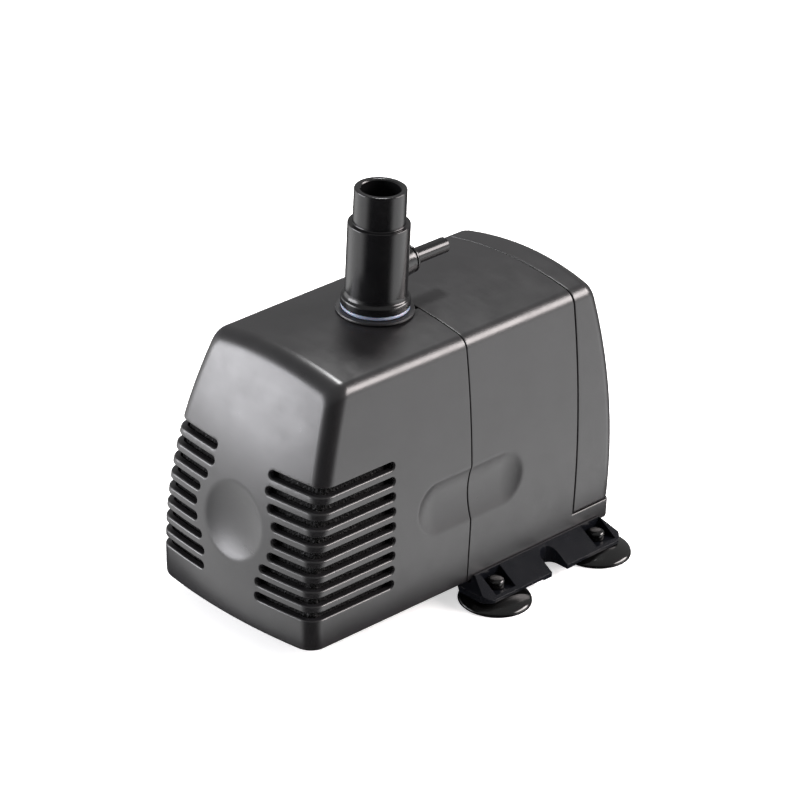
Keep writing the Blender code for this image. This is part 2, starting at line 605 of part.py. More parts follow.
def make_impeller():
    bore = SHAFT_RADIUS + 0.00009
    hub = [(0.0056, 0.0258), (0.0056, 0.0075), (0.0215, 0.0060), (0.0215, 0.0045), (0.0060, 0.0045),
           (0.0060, -0.0015), (0.0040, -0.0015), (0.0040, -0.0390), (bore, -0.0390), (bore, 0.0258)]
    impeller = turned("impeller", hub, NYLON, (0, SEAM_Y, AXIS_Z), axis="Y", steps=32, closed=True)
    vanes = bpy.data.collections.new("vanes")
    cutters.children.link(vanes)
    for index in range(7):
        vane = box(f"vane_{index}", (0.0046, -0.0235, -0.0007), (0.0212, -0.0055, 0.0007))
        vane.location = (0, SEAM_Y, AXIS_Z)
        vane.rotation_euler = (0, 2 * math.pi * index / 7, 0)
        cutters.objects.unlink(vane)
        vanes.objects.link(vane)
    boolean(impeller, vanes, "UNION")
    turned("rotor_magnet", [(MAGNET_RADIUS, -0.0020), (MAGNET_RADIUS, -0.0385), (0.0043, -0.0385), (0.0043, -0.0020)],
           MAGNET, (0, SEAM_Y, AXIS_Z), axis="Y", closed=True)


# ---------------------------------------------------------------- stator
def make_stator():
    inner, outer = LEG_X - LEG_WIDTH / 2, LEG_X + LEG_WIDTH / 2
    shoe_top, shoe_foot = AXIS_Z + 0.0220, AXIS_Z - 0.0200
    yoke_foot, yoke_top = COIL_Z[1] + BODY_Z - 0.0080, COIL_Z[1] + 0.0140
    slit = 0.0012
    right = [(slit, shoe_foot), (outer, shoe_foot), (outer, yoke_top)]
    window = [(inner, yoke_foot), (inner, shoe_top), (slit, shoe_top)]
    outline = right + [(-x, z) for x, z in reversed(right)] + [(-x, z) for x, z in reversed(window)] + window
    core = prism("stator_core", outline, *CORE_Y, STEEL, along="Y")
    bore = CAN_RADIUS + GAP + 0.0004
    boolean(core, turned("stator_bore", [(0, 0.06), (bore, 0.06), (bore, -0.06), (0, -0.06)],
                         location=(0, SEAM_Y, AXIS_Z), axis="Y"))
    low, high = COIL_Z
    middle_y = (CORE_Y[0] + CORE_Y[1]) / 2
    deep = (CORE_Y[1] - CORE_Y[0]) / 2
    half = LEG_WIDTH / 2
    for side, label in ((-1, "left"), (1, "right")):
        x = side * LEG_X

        def block(name, grow, foot, top, material=None):
            wide, long = half + grow, deep + grow
            return box(name, (x - wide, middle_y - long, foot), (x + wide, middle_y + long, top), material)

        bobbin = block(f"bobbin_{label}", 0.0068, low, high, NYLON)
        waist = block(f"bobbin_waist_{label}", 0.0100, low + 0.0012, high - 0.0012)
        boolean(waist, block(f"bobbin_tube_{label}", 0.0013, low - 0.001, high + 0.001))
        boolean(bobbin, waist)
        boolean(bobbin, block(f"bobbin_bore_{label}", GAP, low - 0.002, high + 0.002))
        coil = block(f"coil_{label}", 0.0062, low + 0.0015, high - 0.0015, COPPER)
        boolean(coil, block(f"coil_bore_{label}", 0.0016, low, high))


def make_potting():
    outline = section(WALL + 0.0002 + GAP)
    rings = [[(x, y, z) for x, z in outline] for y in (SEAM_Y + 0.0500, SEAM_Y + 0.0580)]
    return loft("potting_resin", rings, RESIN)


# ---------------------------------------------------------------- outlet nozzle, seal, air barb and cord gland
GLAND_Z = BODY_Z + 0.022


def make_nozzle():
    foot = BODY_TOP_Z + 0.0030
    socket = 0.0106
    profile = [(OUTLET_BORE, TIP_Z), (TIP_RADIUS - 0.0004, TIP_Z), (TIP_RADIUS, TIP_Z - 0.0005),
               (TIP_RADIUS + 0.0001, SHOULDER_Z), (COLUMN_RADIUS - 0.0006, SHOULDER_Z),
               (COLUMN_RADIUS, SHOULDER_Z - 0.0006), (COLUMN_RADIUS, BODY_TOP_Z + 0.0100),
               (COLUMN_RADIUS + 0.0004, BODY_TOP_Z + 0.0075), (COLUMN_RADIUS + 0.0013, BODY_TOP_Z + 0.0062),
               (COLUMN_RADIUS + 0.0015, foot), (socket, foot), (socket, BODY_TOP_Z + 0.0118),
               (OUTLET_BORE, BODY_TOP_Z + 0.0130)]
    nozzle = turned("outlet_nozzle", profile, GLOSS_BLACK, (0, OUTLET_Y, 0), steps=48, closed=True)
    boss_end = COLUMN_RADIUS + 0.0046
    boss = [(0, -0.0104), (0.0070, -0.0104), (0.0066, -0.0130), (BOSS_RADIUS, -boss_end + 0.0014),
            (BOSS_RADIUS, -boss_end), (0, -boss_end)]
    boolean(nozzle, turned("air_boss", boss, location=(0, OUTLET_Y, BARB_Z), axis="Y", steps=28), "UNION")
    bore = [(0, 0.02), (OUTLET_BORE, 0.02), (OUTLET_BORE, -0.02), (0, -0.02)]
    boolean(nozzle, turned("nozzle_bore_clear", bore, location=(0, OUTLET_Y, BARB_Z + 0.018), steps=48))
    air_hole = [(0, 0.001), (0.0026, 0.001), (0.0026, -0.020), (0, -0.020)]
    boolean(nozzle, turned("air_hole", air_hole, location=(0, OUTLET_Y, BARB_Z), axis="Y", steps=20))

    turned("outlet_seal", ring_profile(0.0130, 0.0008), SEAL, (0, OUTLET_Y, BODY_TOP_Z + 0.0021), steps=40,
           closed=True)
    start = boss_end + GAP
    flange = BOSS_RADIUS - 0.0001
    barb = [(flange, -start), (flange, -start - 0.0012), (BARB_RADIUS, -start - 0.0016),
            (BARB_RADIUS, -BARB_END + 0.0008), (BARB_RADIUS - 0.0006, -BARB_END), (0.0012, -BARB_END),
            (0.0012, -0.0095), (0.0023, -0.0095), (0.0023, -start)]
    turned("air_barb", barb, GLOSS_BLACK, (0, OUTLET_Y, BARB_Z), axis="Y", steps=24, closed=True)


def make_cord_gland():
    profile = [(0.0062, -0.0032), (0.0078, -0.0012), (0.0080, -GAP), (0.0056, -GAP), (0.0056, WALL + GAP),
               (0.0072, WALL + GAP), (0.0068, 0.0050), (0.0036, 0.0050), (0.0036, -0.0032)]
    profile = list(reversed(profile))
    return turned("cord_gland", profile, RUBBER, (0, REAR_Y, GLAND_Z), axis="Y", steps=32, closed=True)


def main():
    for old in list(bpy.data.objects):
        bpy.data.objects.remove(old)
    for group in (model, cutters):
        bpy.context.scene.collection.children.link(group)
    cutters.hide_render = True
    make_strainer_cover()
    make_filter_foam()
    make_motor_housing()
    make_rear_cap()
    make_base_plate()
    make_suction_cups()
    make_pump_chamber()
    make_chamber_details()
    make_rotor_can()
    make_bearings()
    make_impeller()
    make_stator()
    make_potting()
    make_nozzle()
    make_cord_gland()


main()
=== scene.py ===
"""Fountain submersible pump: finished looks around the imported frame.

Metres, +Z up, in the row frame: the strainer cover faces -Y and the floor is z = 0.
"""

import math
import random

import bmesh
import bpy
import numpy as np
from mathutils import Matrix, Vector, noise


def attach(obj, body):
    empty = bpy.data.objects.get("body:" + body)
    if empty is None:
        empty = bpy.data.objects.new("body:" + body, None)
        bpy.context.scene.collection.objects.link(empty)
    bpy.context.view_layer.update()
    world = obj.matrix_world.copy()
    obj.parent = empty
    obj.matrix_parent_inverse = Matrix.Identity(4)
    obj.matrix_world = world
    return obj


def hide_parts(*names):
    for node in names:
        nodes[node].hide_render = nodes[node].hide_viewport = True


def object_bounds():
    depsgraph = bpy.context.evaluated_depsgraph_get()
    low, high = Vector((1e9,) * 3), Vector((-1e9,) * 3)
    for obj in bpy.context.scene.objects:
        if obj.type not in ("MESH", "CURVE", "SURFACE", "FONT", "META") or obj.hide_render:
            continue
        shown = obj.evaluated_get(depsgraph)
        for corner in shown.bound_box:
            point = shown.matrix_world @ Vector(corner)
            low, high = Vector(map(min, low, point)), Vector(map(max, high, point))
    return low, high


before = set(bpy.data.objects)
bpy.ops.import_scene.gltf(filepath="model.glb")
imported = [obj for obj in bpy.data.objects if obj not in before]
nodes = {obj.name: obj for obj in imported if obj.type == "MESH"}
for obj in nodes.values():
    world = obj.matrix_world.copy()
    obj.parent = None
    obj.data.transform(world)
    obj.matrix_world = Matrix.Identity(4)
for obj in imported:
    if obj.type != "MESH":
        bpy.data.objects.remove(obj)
cad_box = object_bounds()

# ---------------------------------------------------------------- sizes, as in the CAD source
GAP = 0.0003
SEAM_Y = -0.002
FRONT_Y = -0.0925
CAP_SEAM_Y = SEAM_Y + 0.0623
REAR_Y = SEAM_Y + 0.0913
BODY_Z = 0.010
BODY_HEIGHT = 0.1108
BODY_TOP_Z = BODY_Z + BODY_HEIGHT
BODY_HALF_WIDTH = 0.0448
WAIST = 0.020
SIDE_SWEEP = 1.12
FRONT_SWEEP = 2.5
REAR_SWEEP = 1.6
FRONT_BOW = 2.0
REAR_BOW = 2.5
CROWN = 3.19
ROOF_ROUND = 0.0065
FOOT_ROUND = 0.0012
END_ROUND = 0.006
COVER_TAPER = 0.02
TAPER_LENGTH = 0.080
WALL = 0.0026
LEDGE_HEIGHT = 0.0085
LEDGE_REAR_Y = SEAM_Y + 0.0856
AXIS_Z = BODY_Z + 0.042
DISH_RADIUS = 0.0160
DISH_DEPTH = 0.0030
GRIP_LENGTH = 0.060
GRIP_HEIGHT = 0.0236
GRIP_DEPTH = 0.0023
GRIP_Z = BODY_Z + 0.041
SLOT_COUNT = 9
SLOT_PITCH = 0.00652
SLOT_HEIGHT = 0.0033
SLOT_LOWEST_Z = BODY_Z + 0.0156
SLOT_REAR_Y = SEAM_Y - 0.0427
SLOT_EDGE_X = 0.0149
SLOT_DISH_CLEAR = 0.0215
OUTLET_Y = SEAM_Y - 0.0144
COLLAR_RADIUS = 0.0158
NECK_RADIUS = 0.0096
COLUMN_RADIUS = 0.0125
TIP_RADIUS = 0.0105
OUTLET_BORE = 0.0080
SHOULDER_Z = BODY_TOP_Z + 0.0381
TIP_Z = BODY_TOP_Z + 0.0527
BARB_Z = BODY_TOP_Z + 0.0165
BARB_RADIUS = 0.0033
BOSS_RADIUS = 0.0060
BARB_END = 0.0380
CUP_X = 0.0498
CUP_Y = (SEAM_Y + 0.0118, SEAM_Y + 0.0720)
CUP_RADIUS = 0.0152
CUP_NECK = 0.0032
PLATE_Y = (SEAM_Y - 0.0005, SEAM_Y + 0.0817)
PLATE_EDGE_X = 0.0570
PLATE_EDGE_Z = BODY_Z - 0.0042
PLATE_RIM_Z = BODY_Z + 0.0025
PLATE_FOOT_Z = BODY_Z - 0.0056
NOTCH_Y = SEAM_Y + 0.0425
NOTCH_RADIUS = 0.0046
NOTCH_X = 0.0515
POCKET_SIDE = 0.0115
POCKET_FLOOR_Z = 0.0062
PAD_HALF = 0.0095
PAD_FOOT_Z = PLATE_FOOT_Z - 0.0006
CHAMBER_FRONT_Y = SEAM_Y - 0.0290
CHAMBER_RADIUS = 0.0295
CHAMBER_CAVITY = 0.0260
CHAMBER_FLANGE = 0.0358
CAN_RADIUS = 0.0139
SCREW_CIRCLE = 0.0328
GLAND_Z = BODY_Z + 0.022
SEAM_EDGE = 0.00035  # rounding along each side of the cover's joint
CAP_EDGE = 0.0005  # rounding along each side of the rear cap's joint


# ---------------------------------------------------------------- materials
class Nodes:
    """A Principled material whose sockets are fed by named helper calls."""

    def __init__(self, name, roughness=0.4, metallic=0.0, **fixed):
        self.material = bpy.data.materials.new(name)
        self.material.use_nodes = True
        self.tree = self.material.node_tree
        self.shader = self.tree.nodes["Principled BSDF"]
        self.shader.inputs["Roughness"].default_value = roughness
        self.shader.inputs["Metallic"].default_value = metallic
        for socket, value in fixed.items():
            self.shader.inputs[socket.replace("_", " ")].default_value = value
        self.place = self.tree.nodes.new("ShaderNodeTexCoord").outputs["Object"]

    def link(self, out, socket):
        self.tree.links.new(out, socket)

    def noise(self, scale, detail=3.0, rough=0.55, stretch=None, seed=0.0):
        node = self.tree.nodes.new("ShaderNodeTexNoise")
        node.noise_dimensions = "4D"
        node.inputs["W"].default_value = seed
        node.inputs["Scale"].default_value = scale
        node.inputs["Detail"].default_value = detail
        node.inputs["Roughness"].default_value = rough
        place = self.place
        if stretch:
            mapping = self.tree.nodes.new("ShaderNodeMapping")
            mapping.inputs["Scale"].default_value = stretch
            self.link(place, mapping.inputs["Vector"])
            place = mapping.outputs["Vector"]
        self.link(place, node.inputs["Vector"])
        return node.outputs["Fac"]

    def ranged(self, value, low, high, start=0.0, end=1.0):
        node = self.tree.nodes.new("ShaderNodeMapRange")
        node.inputs["From Min"].default_value = start
        node.inputs["From Max"].default_value = end
        node.inputs["To Min"].default_value = low
        node.inputs["To Max"].default_value = high
        self.link(value, node.inputs["Value"])
        return node.outputs["Result"]

    def ramp(self, value, stops):
        node = self.tree.nodes.new("ShaderNodeValToRGB")
        ramp = node.color_ramp
        for index, (position, colour) in enumerate(stops):
            stop = ramp.elements[index] if index < 2 else ramp.elements.new(position)
            stop.position = position
            stop.color = (*colour, 1.0)
        self.link(value, node.inputs["Fac"])
        return node.outputs["Color"]

    def bump(self, height, strength, distance, under=None):
        node = self.tree.nodes.new("ShaderNodeBump")
        node.inputs["Strength"].default_value = strength
        node.inputs["Distance"].default_value = distance
        self.link(height, node.inputs["Height"])
        if under is not None:
            self.link(under, node.inputs["Normal"])
        return node.outputs["Normal"]

    def math(self, operation, first, second):
        node = self.tree.nodes.new("ShaderNodeMath")
        node.operation = operation
        for socket, value in zip(node.inputs, (first, second)):
            if isinstance(value, (int, float)):
                socket.default_value = value
            else:
                self.link(value, socket)
        return node.outputs["Value"]

    def colour(self, out):
        self.link(out, self.shader.inputs["Base Color"])

    def roughness(self, out):
        self.link(out, self.shader.inputs["Roughness"])

    def normal(self, out):
        self.link(out, self.shader.inputs["Normal"])


def moulded(name, dark, light, rough, grain, grain_scale=2600.0, specular=0.5, mottle=45.0):
    """Moulded plastic: cloudy colour, roughness that varies, a fine spark-eroded grain and slow waviness."""
    made = Nodes(name, 0.4, Specular_IOR_Level=specular)
    cloud = made.noise(mottle, 4.0, 0.6)
    made.colour(made.ramp(cloud, [(0.30, dark), (0.70, light)]))
    patches = made.noise(mottle * 2.3, 3.0, 0.5, seed=4.0)
    scuffs = made.noise(260.0, 5.0, 0.65, stretch=(0.25, 1.0, 1.0), seed=9.0)
    base = made.ranged(patches, rough[0], rough[1], 0.3, 0.7)
    made.roughness(made.math("ADD", base, made.ranged(scuffs, -0.02, 0.03, 0.35, 0.75)))
    fine = made.bump(made.noise(grain_scale, 2.0, 0.5, seed=2.0), grain, 0.00006)
    slow = made.noise(38.0, 1.0, 0.4, seed=6.0)
    made.normal(made.bump(slow, 0.10, 0.0006, under=fine))
    return made.material


CASING = moulded("casing_satin", (0.0080, 0.0077, 0.0083), (0.0112, 0.0108, 0.0118), (0.29, 0.35), 0.30)
GLOSS = moulded("nozzle_gloss", (0.004, 0.004, 0.0045), (0.006, 0.006, 0.0065), (0.17, 0.22), 0.10,
                 specular=0.36)
BASE = moulded("base_gloss", (0.0035, 0.004, 0.0055), (0.0055, 0.006, 0.008), (0.17, 0.24), 0.15, specular=0.15)
RUBBER = moulded("rubber_gloss", (0.002, 0.002, 0.002), (0.004, 0.004, 0.004), (0.11, 0.17), 0.06, specular=0.4, mottle=90.0)
INNER = moulded("inner_black", (0.012, 0.012, 0.013), (0.018, 0.018, 0.019), (0.34, 0.44), 0.25)
NYLON = moulded("natural_nylon", (0.62, 0.60, 0.52), (0.70, 0.68, 0.60), (0.38, 0.48), 0.20, mottle=120.0)
RESIN = moulded("potting", (0.010, 0.010, 0.011), (0.016, 0.016, 0.017), (0.12, 0.22), 0.05, mottle=30.0)


def silicone():
    made = Nodes("seal_silicone", 0.30, Subsurface_Weight=0.25, Subsurface_Scale=0.002)
    made.colour(made.ramp(made.noise(160.0, 3.0), [(0.3, (0.19, 0.22, 0.30)), (0.7, (0.27, 0.31, 0.40))]))
    made.roughness(made.ranged(made.noise(400.0), 0.22, 0.36, 0.3, 0.7))
    made.normal(made.bump(made.noise(1800.0), 0.15, 0.00005))
    return made.material


def foam():
    """Open-cell filter foam: pitted cells with shiny struts; its colour is darker in the pits, which is painted shade.
    """
    made = Nodes("filter_foam_black", 0.3, Specular_IOR_Level=0.25)
    cells = made.tree.nodes.new("ShaderNodeTexVoronoi")
    cells.inputs["Scale"].default_value = 900.0
    cells.inputs["Randomness"].default_value = 1.0
    made.link(made.place, cells.inputs["Vector"])
    distance = cells.outputs["Distance"]
    # painted shade: the colour is darker towards the middle of each cell, where the bump sinks the pit
    made.colour(made.ramp(distance, [(0.15, (0.001, 0.001, 0.001)), (0.8, (0.006, 0.006, 0.0065))]))
    made.roughness(made.ranged(made.noise(420.0), 0.95, 0.15, 0.50, 0.80))
    made.normal(made.bump(distance, 1.0, 0.0008))
    return made.material


def metal(name, dark, light, rough, stretch=(1.0, 1.0, 1.0), scale=900.0, grain=0.2):
    made = Nodes(name, 0.3, 1.0)
    lines = made.noise(scale, 3.0, 0.6, stretch=stretch)
    made.colour(made.ramp(lines, [(0.3, dark), (0.7, light)]))
    made.roughness(made.ranged(lines, rough[0], rough[1], 0.3, 0.7))
    made.normal(made.bump(lines, grain, 0.0001))
    return made.material


def layered(name, pitch, axis, dark, light, rough, metallic=1.0, depth=0.6):
    """Stacked sheets or wound wire: ridges across one axis, the colour darker in the grooves between them as painted
    shade.
    """
    made = Nodes(name, 0.35, metallic)
    wave = made.tree.nodes.new("ShaderNodeTexWave")
    wave.wave_type = "BANDS"
    wave.bands_direction = axis
    wave.inputs["Scale"].default_value = math.pi / (10 * pitch)
    wave.inputs["Distortion"].default_value = 0.4
    wave.inputs["Detail"].default_value = 1.0
    made.link(made.place, wave.inputs["Vector"])
    ridges = wave.outputs["Fac"]
    # painted shade: the colour is darker in the grooves between ridges and lighter on their crests
    made.colour(made.ramp(ridges, [(0.1, dark), (0.8, light)]))
    made.roughness(made.ranged(made.noise(500.0), rough[0], rough[1], 0.3, 0.7))
    made.normal(made.bump(ridges, depth, pitch * 0.4))
    return made.material


SEAL = silicone()
FOAM = foam()
STEEL = layered("core_laminations", 0.0005, "Y", (0.16, 0.16, 0.17), (0.36, 0.36, 0.37), (0.34, 0.48))
COPPER = layered("coil_winding", 0.0007, "Z", (0.28, 0.07, 0.025), (0.62, 0.22, 0.09), (0.25, 0.38))
STAINLESS = metal("screw_stainless", (0.42, 0.42, 0.43), (0.60, 0.60, 0.60), (0.20, 0.34))
MAGNET = moulded("ferrite_magnet", (0.020, 0.019, 0.019), (0.032, 0.030, 0.030), (0.45, 0.60), 0.5, 1500.0)
CERAMIC = moulded("white_ceramic", (0.74, 0.73, 0.69), (0.80, 0.79, 0.76), (0.12, 0.20), 0.04, mottle=200.0)


# ---------------------------------------------------------------- building blocks
scene = bpy.context.scene
cutters = []


def put(name, mesh, material=None):
    piece = bpy.data.objects.new(name, mesh)
    scene.collection.objects.link(piece)
    if material is None:
        cutters.append(piece)
    else:
        mesh.materials.append(material)
    return piece


def cut(piece, other, operation="DIFFERENCE"):
    modifier = piece.modifiers.new("bool", "BOOLEAN")
    modifier.operation = operation
    modifier.solver = "EXACT"
    modifier.object = other
    return piece


def settle(piece, angle=35.0, weighted=True):
    """Turns a piece and its modifiers into one plain mesh in the row frame, with smooth shading."""
    bpy.context.view_layer.update()
    graph = bpy.context.evaluated_depsgraph_get()
    mesh = bpy.data.meshes.new_from_object(piece.evaluated_get(graph), depsgraph=graph)
    mesh.transform(piece.matrix_world)
    piece.modifiers.clear()
    piece.data = mesh
    piece.matrix_world = Matrix.Identity(4)
    bm = bmesh.new()
    bm.from_mesh(mesh)
    bmesh.ops.remove_doubles(bm, verts=bm.verts, dist=0.000002)
    bmesh.ops.recalc_face_normals(bm, faces=bm.faces)
    bm.to_mesh(mesh)
    bm.free()
    mesh.shade_smooth()
    mesh.set_sharp_from_angle(angle=math.radians(angle))
    if weighted:
        modifier = piece.modifiers.new("weighted", "WEIGHTED_NORMAL")
        modifier.keep_sharp = True
        modifier.weight = 80
    return piece


def skin(name, verts, faces, material=None):
    mesh = bpy.data.meshes.new(name)
    mesh.from_pydata([tuple(v) for v in verts], [], faces)
    mesh.update()
    return put(name, mesh, material)


def arc(centre, radius, start, end, steps):
    angles = [math.radians(start + (end - start) * i / steps) for i in range(steps + 1)]
    return [(centre[0] + radius * math.cos(a), centre[1] + radius * math.sin(a)) for a in angles]


def turned(name, profile, material=None, location=(0, 0, 0), axis="Z", steps=96, closed=False):
    """Turns (radius, height) points about Z, or about Y with heights towards -Y."""
    verts, faces = [], []
    on_axis = [r < 1e-9 for r, _ in profile]
    index = []
    for (radius, height), pole in zip(profile, on_axis):
        ring = []
        if pole:
            verts.append((0.0, 0.0, height))
            ring = [len(verts) - 1] * steps
        else:
            for k in range(steps):
                a = 2 * math.pi * k / steps
                verts.append((radius * math.cos(a), radius * math.sin(a), height))
                ring.append(len(verts) - 1)
        index.append(ring)
    pairs = list(zip(index, index[1:]))
    if closed:
        pairs.append((index[-1], index[0]))
    for first, second in pairs:
        for k in range(steps):
            m = (k + 1) % steps
            face = [first[k], second[k], second[m], first[m]]
            face = [v for i, v in enumerate(face) if v not in face[:i]]
            if len(face) > 2:
                faces.append(face)
    if axis == "Y":
        verts = [(x, -z, y) for x, y, z in verts]
    verts = [(x + location[0], y + location[1], z + location[2]) for x, y, z in verts]
    piece = skin(name, verts, faces, material)
    bm = bmesh.new()
    bm.from_mesh(piece.data)
    bmesh.ops.recalc_face_normals(bm, faces=bm.faces)
    bm.to_mesh(piece.data)
    bm.free()
    return piece


def rounded(points, radius, steps=4):
    """Rounds the corners of an open (radius, height) profile, apart from its two ends."""
    made = [points[0]]
    for before, corner, after in zip(points, points[1:], points[2:]):
        c = Vector(corner)
        to_before, to_after = Vector(before) - c, Vector(after) - c
        reach = min(radius, to_before.length * 0.48, to_after.length * 0.48)
        start, end = c + to_before.normalized() * reach, c + to_after.normalized() * reach
        for k in range(steps + 1):
            t = k / steps
            p = start * (1 - t) ** 2 + c * 2 * t * (1 - t) + end * t**2
            made.append((p.x, p.y))
    made.append(points[-1])
    return made


def prism(name, outline, low, high, material=None, along="Z"):
    order = {"Z": lambda a, b, c: (a, b, c), "Y": lambda a, b, c: (a, c, b), "X": lambda a, b, c: (c, a, b)}[along]
    count = len(outline)
    verts = [order(a, b, low) for a, b in outline] + [order(a, b, high) for a, b in outline]
    faces = [[i, (i + 1) % count, count + (i + 1) % count, count + i] for i in range(count)]
    faces += [list(range(count))[::-1], list(range(count, 2 * count))]
    piece = skin(name, verts, faces, material)
    bm = bmesh.new()
    bm.from_mesh(piece.data)
    bmesh.ops.recalc_face_normals(bm, faces=bm.faces)
    bm.to_mesh(piece.data)
    bm.free()
    return piece


def block(name, low, high, material=None):
    outline = [(low[0], low[1]), (high[0], low[1]), (high[0], high[1]), (low[0], high[1])]
    return prism(name, outline, low[2], high[2], material)


# ---------------------------------------------------------------- casing shape
def spread(start, end, step):
    """Evenly spaced values from start up to, and without, end."""
    count = max(1, round((end - start) / step))
    return [start + (end - start) * i / count for i in range(count)]


FIXED_ROWS = spread(0.0105, 0.0240, 0.0022) + spread(0.0240, 0.0600, 0.00075) + spread(0.0600, 0.0885, 0.0022)
COLUMNS = spread(0.0, 0.0185, 0.00075) + spread(0.0185, 0.0340, 0.0022)
ARC_STEPS = 6
FOOT_STEPS = 3


def half_width(height):
    return BODY_HALF_WIDTH - SIDE_SWEEP * max(0.0, height - WAIST) ** 2


def roof(x):
    return BODY_HEIGHT - CROWN * x * x


def front_face(x, z):
    return FRONT_Y + FRONT_SWEEP * (z - BODY_Z - WAIST) ** 2 + FRONT_BOW * x * x


def rear_face(x, z):
    return REAR_Y - REAR_SWEEP * (z - BODY_Z - WAIST) ** 2 - REAR_BOW * x * x


def taper(y):
    return 1.0 - COVER_TAPER * min(1.0, max(0.0, (SEAM_Y - y) / TAPER_LENGTH))


def section(inset=0.0, floor=0.0):
    """The casing's outline as four lists of (x, z): bottom left to right, right side upwards, top right to
    left, left side downwards. Side rows keep their heights whatever the inset."""
    corner = max(ROOF_ROUND - 0.35 * inset, 0.002)
    low = floor + inset
    roof_x, side_z = BODY_HALF_WIDTH * 0.7, BODY_HEIGHT * 0.95
    for _ in range(40):
        tilt = math.atan(2 * SIDE_SWEEP * (side_z - WAIST))
        lean = math.atan(2 * CROWN * roof_x)
        centre_x = half_width(side_z) - inset - corner * math.cos(tilt)
        centre_z = roof(roof_x) - inset - corner * math.cos(lean)
        roof_x = centre_x + corner * math.sin(lean)
        side_z = centre_z + corner * math.sin(tilt)
    first = low + FOOT_ROUND
    foot_x = half_width(first) - inset
    foot_centre = (foot_x - FOOT_ROUND, first)
    start, stop = math.degrees(tilt), 90 - math.degrees(lean)
    middle = (start + stop) / 2
    side = arc(foot_centre, FOOT_ROUND, -45, 0, FOOT_STEPS)
    lower = FIXED_ROWS[0]
    between = [first + (lower - first) * t for t in (0.33, 0.67)]
    heights = [max(first, h) for h in between + FIXED_ROWS]
    side += [(half_width(h) - inset, h) for h in heights]
    upper = FIXED_ROWS[-1]
    side += [(half_width(upper + (side_z - upper) * t) - inset, upper + (side_z - upper) * t)
             for t in (0.25, 0.5, 0.75)]
    side += arc((centre_x, centre_z), corner, start, middle, ARC_STEPS)
    top = arc((centre_x, centre_z), corner, middle, stop, ARC_STEPS)[1:]
    across = [c / 0.0340 for c in COLUMNS]
    top += [(roof_x * share, roof(roof_x * share) - inset) for share in reversed(across)]
    foot = arc(foot_centre, FOOT_ROUND, -45, -90, ARC_STEPS)[1:]
    foot += [((foot_x - FOOT_ROUND) * share, low) for share in reversed(across)]
    top_half, foot_half = top, foot
    top_full = top_half + [(-x, z) for x, z in reversed(top_half[:-1])]
    bottom_full = [(-x, z) for x, z in foot_half[:-1]] + list(reversed(foot_half))
    left = [(-x, z) for x, z in reversed(side)]

    def lifted(points):
        return [(x, z + BODY_Z) for x, z in points]

    return lifted(bottom_full), lifted(side), lifted(top_full), lifted(left)


def loop_of(inset=0.0, floor=0.0):
    bottom, side, top, left = section(inset, floor)
    return bottom + side + top + left


SIDE_COUNT = len(section()[1])
ACROSS_COUNT = len(section()[0])


def cap_rows(parts, depth):
    """Fills an outline with rows between its left and right sides. depth gives y at (x, z)."""
    bottom, side, top, left = parts
    left_up = left[::-1]
    rows = []
    low, high = side[0][1], side[-1][1]
    start = BODY_Z + 0.070
    for (rx, rz), (lx, _) in zip(side, left_up):
        share = (rz - low) / (high - low)
        blend = max(0.0, (rz - start) / (high - start))
        dip = max(0.0, 1 - (rz - low) / 0.004)
        row = []
        for k in range(ACROSS_COUNT):
            bx, bz = bottom[k]
            tx, tz = top[::-1][k]
            u_bottom = (bx - bottom[0][0]) / (bottom[-1][0] - bottom[0][0])
            u_top = (tx - top[-1][0]) / (top[0][0] - top[-1][0])
            u = u_bottom * (1 - share) + u_top * share
            x = lx + (rx - lx) * u
            z = rz + blend * (tz - top[0][1]) + dip * (bz - bottom[0][1])
            row.append((x, depth(x, z), z))
        rows.append(row)
    return rows


def shell(name, stations, end=None, material=None):
    """A closed body from loops of (x, y, z) points. end is the rows that close it with a grid instead of
    flat: rows come from cap_rows. The first loop is always closed flat."""
    verts = [p for loop in stations for p in loop]
    count = len(stations[0])
    faces = [list(range(count))[::-1]]
    for s in range(len(stations) - 1):
        a, b = s * count, (s + 1) * count
        for k in range(count):
            m = (k + 1) % count
            faces.append([a + k, a + m, b + m, b + k])
    last = (len(stations) - 1) * count
    if end is None:
        faces.append([last + k for k in range(count)])
    else:
        grid = {}
        n_across, n_side = ACROSS_COUNT, SIDE_COUNT
        rows = n_side + 2
        for k in range(n_across):
            grid[0, k + 1] = last + k
            grid[rows - 1, n_across - k] = last + n_across + n_side + k
        for r in range(n_side):
            grid[r + 1, n_across + 1] = last + n_across + r
            grid[n_side - r, 0] = last + 2 * n_across + n_side + r
        for r in range(n_side):
            for k in range(n_across):
                grid[r + 1, k + 1] = len(verts)
                verts.append(end[r][k])
        for r in range(rows - 1):
            for k in range(n_across + 1):
                corners = [(r, k), (r, k + 1), (r + 1, k + 1), (r + 1, k)]
                face = [grid[c] for c in corners if c in grid]
                if len(face) > 2:
                    faces.append(face)
    piece = skin(name, verts, faces, material)
    bm = bmesh.new()
    bm.from_mesh(piece.data)
    bmesh.ops.remove_doubles(bm, verts=bm.verts, dist=0.0000005)
    bmesh.ops.dissolve_degenerate(bm, edges=bm.edges, dist=0.0000005)
    bmesh.ops.recalc_face_normals(bm, faces=bm.faces)
    bm.to_mesh(piece.data)
    bm.free()
    return piece


def smooth_step(value):
    value = min(1.0, max(0.0, value))
    return value * value * (3 - 2 * value)


def bowl(distance, radius, depth, soft):
    """Depth of a ball-shaped hollow with a softened rim at a distance from its middle."""
    ball = (radius**2 + depth**2) / (2 * depth)
    here = math.sqrt(max(0.0, ball**2 - distance**2)) - (ball - depth)
    return soft * math.log1p(math.exp(min(40.0, here / soft)))


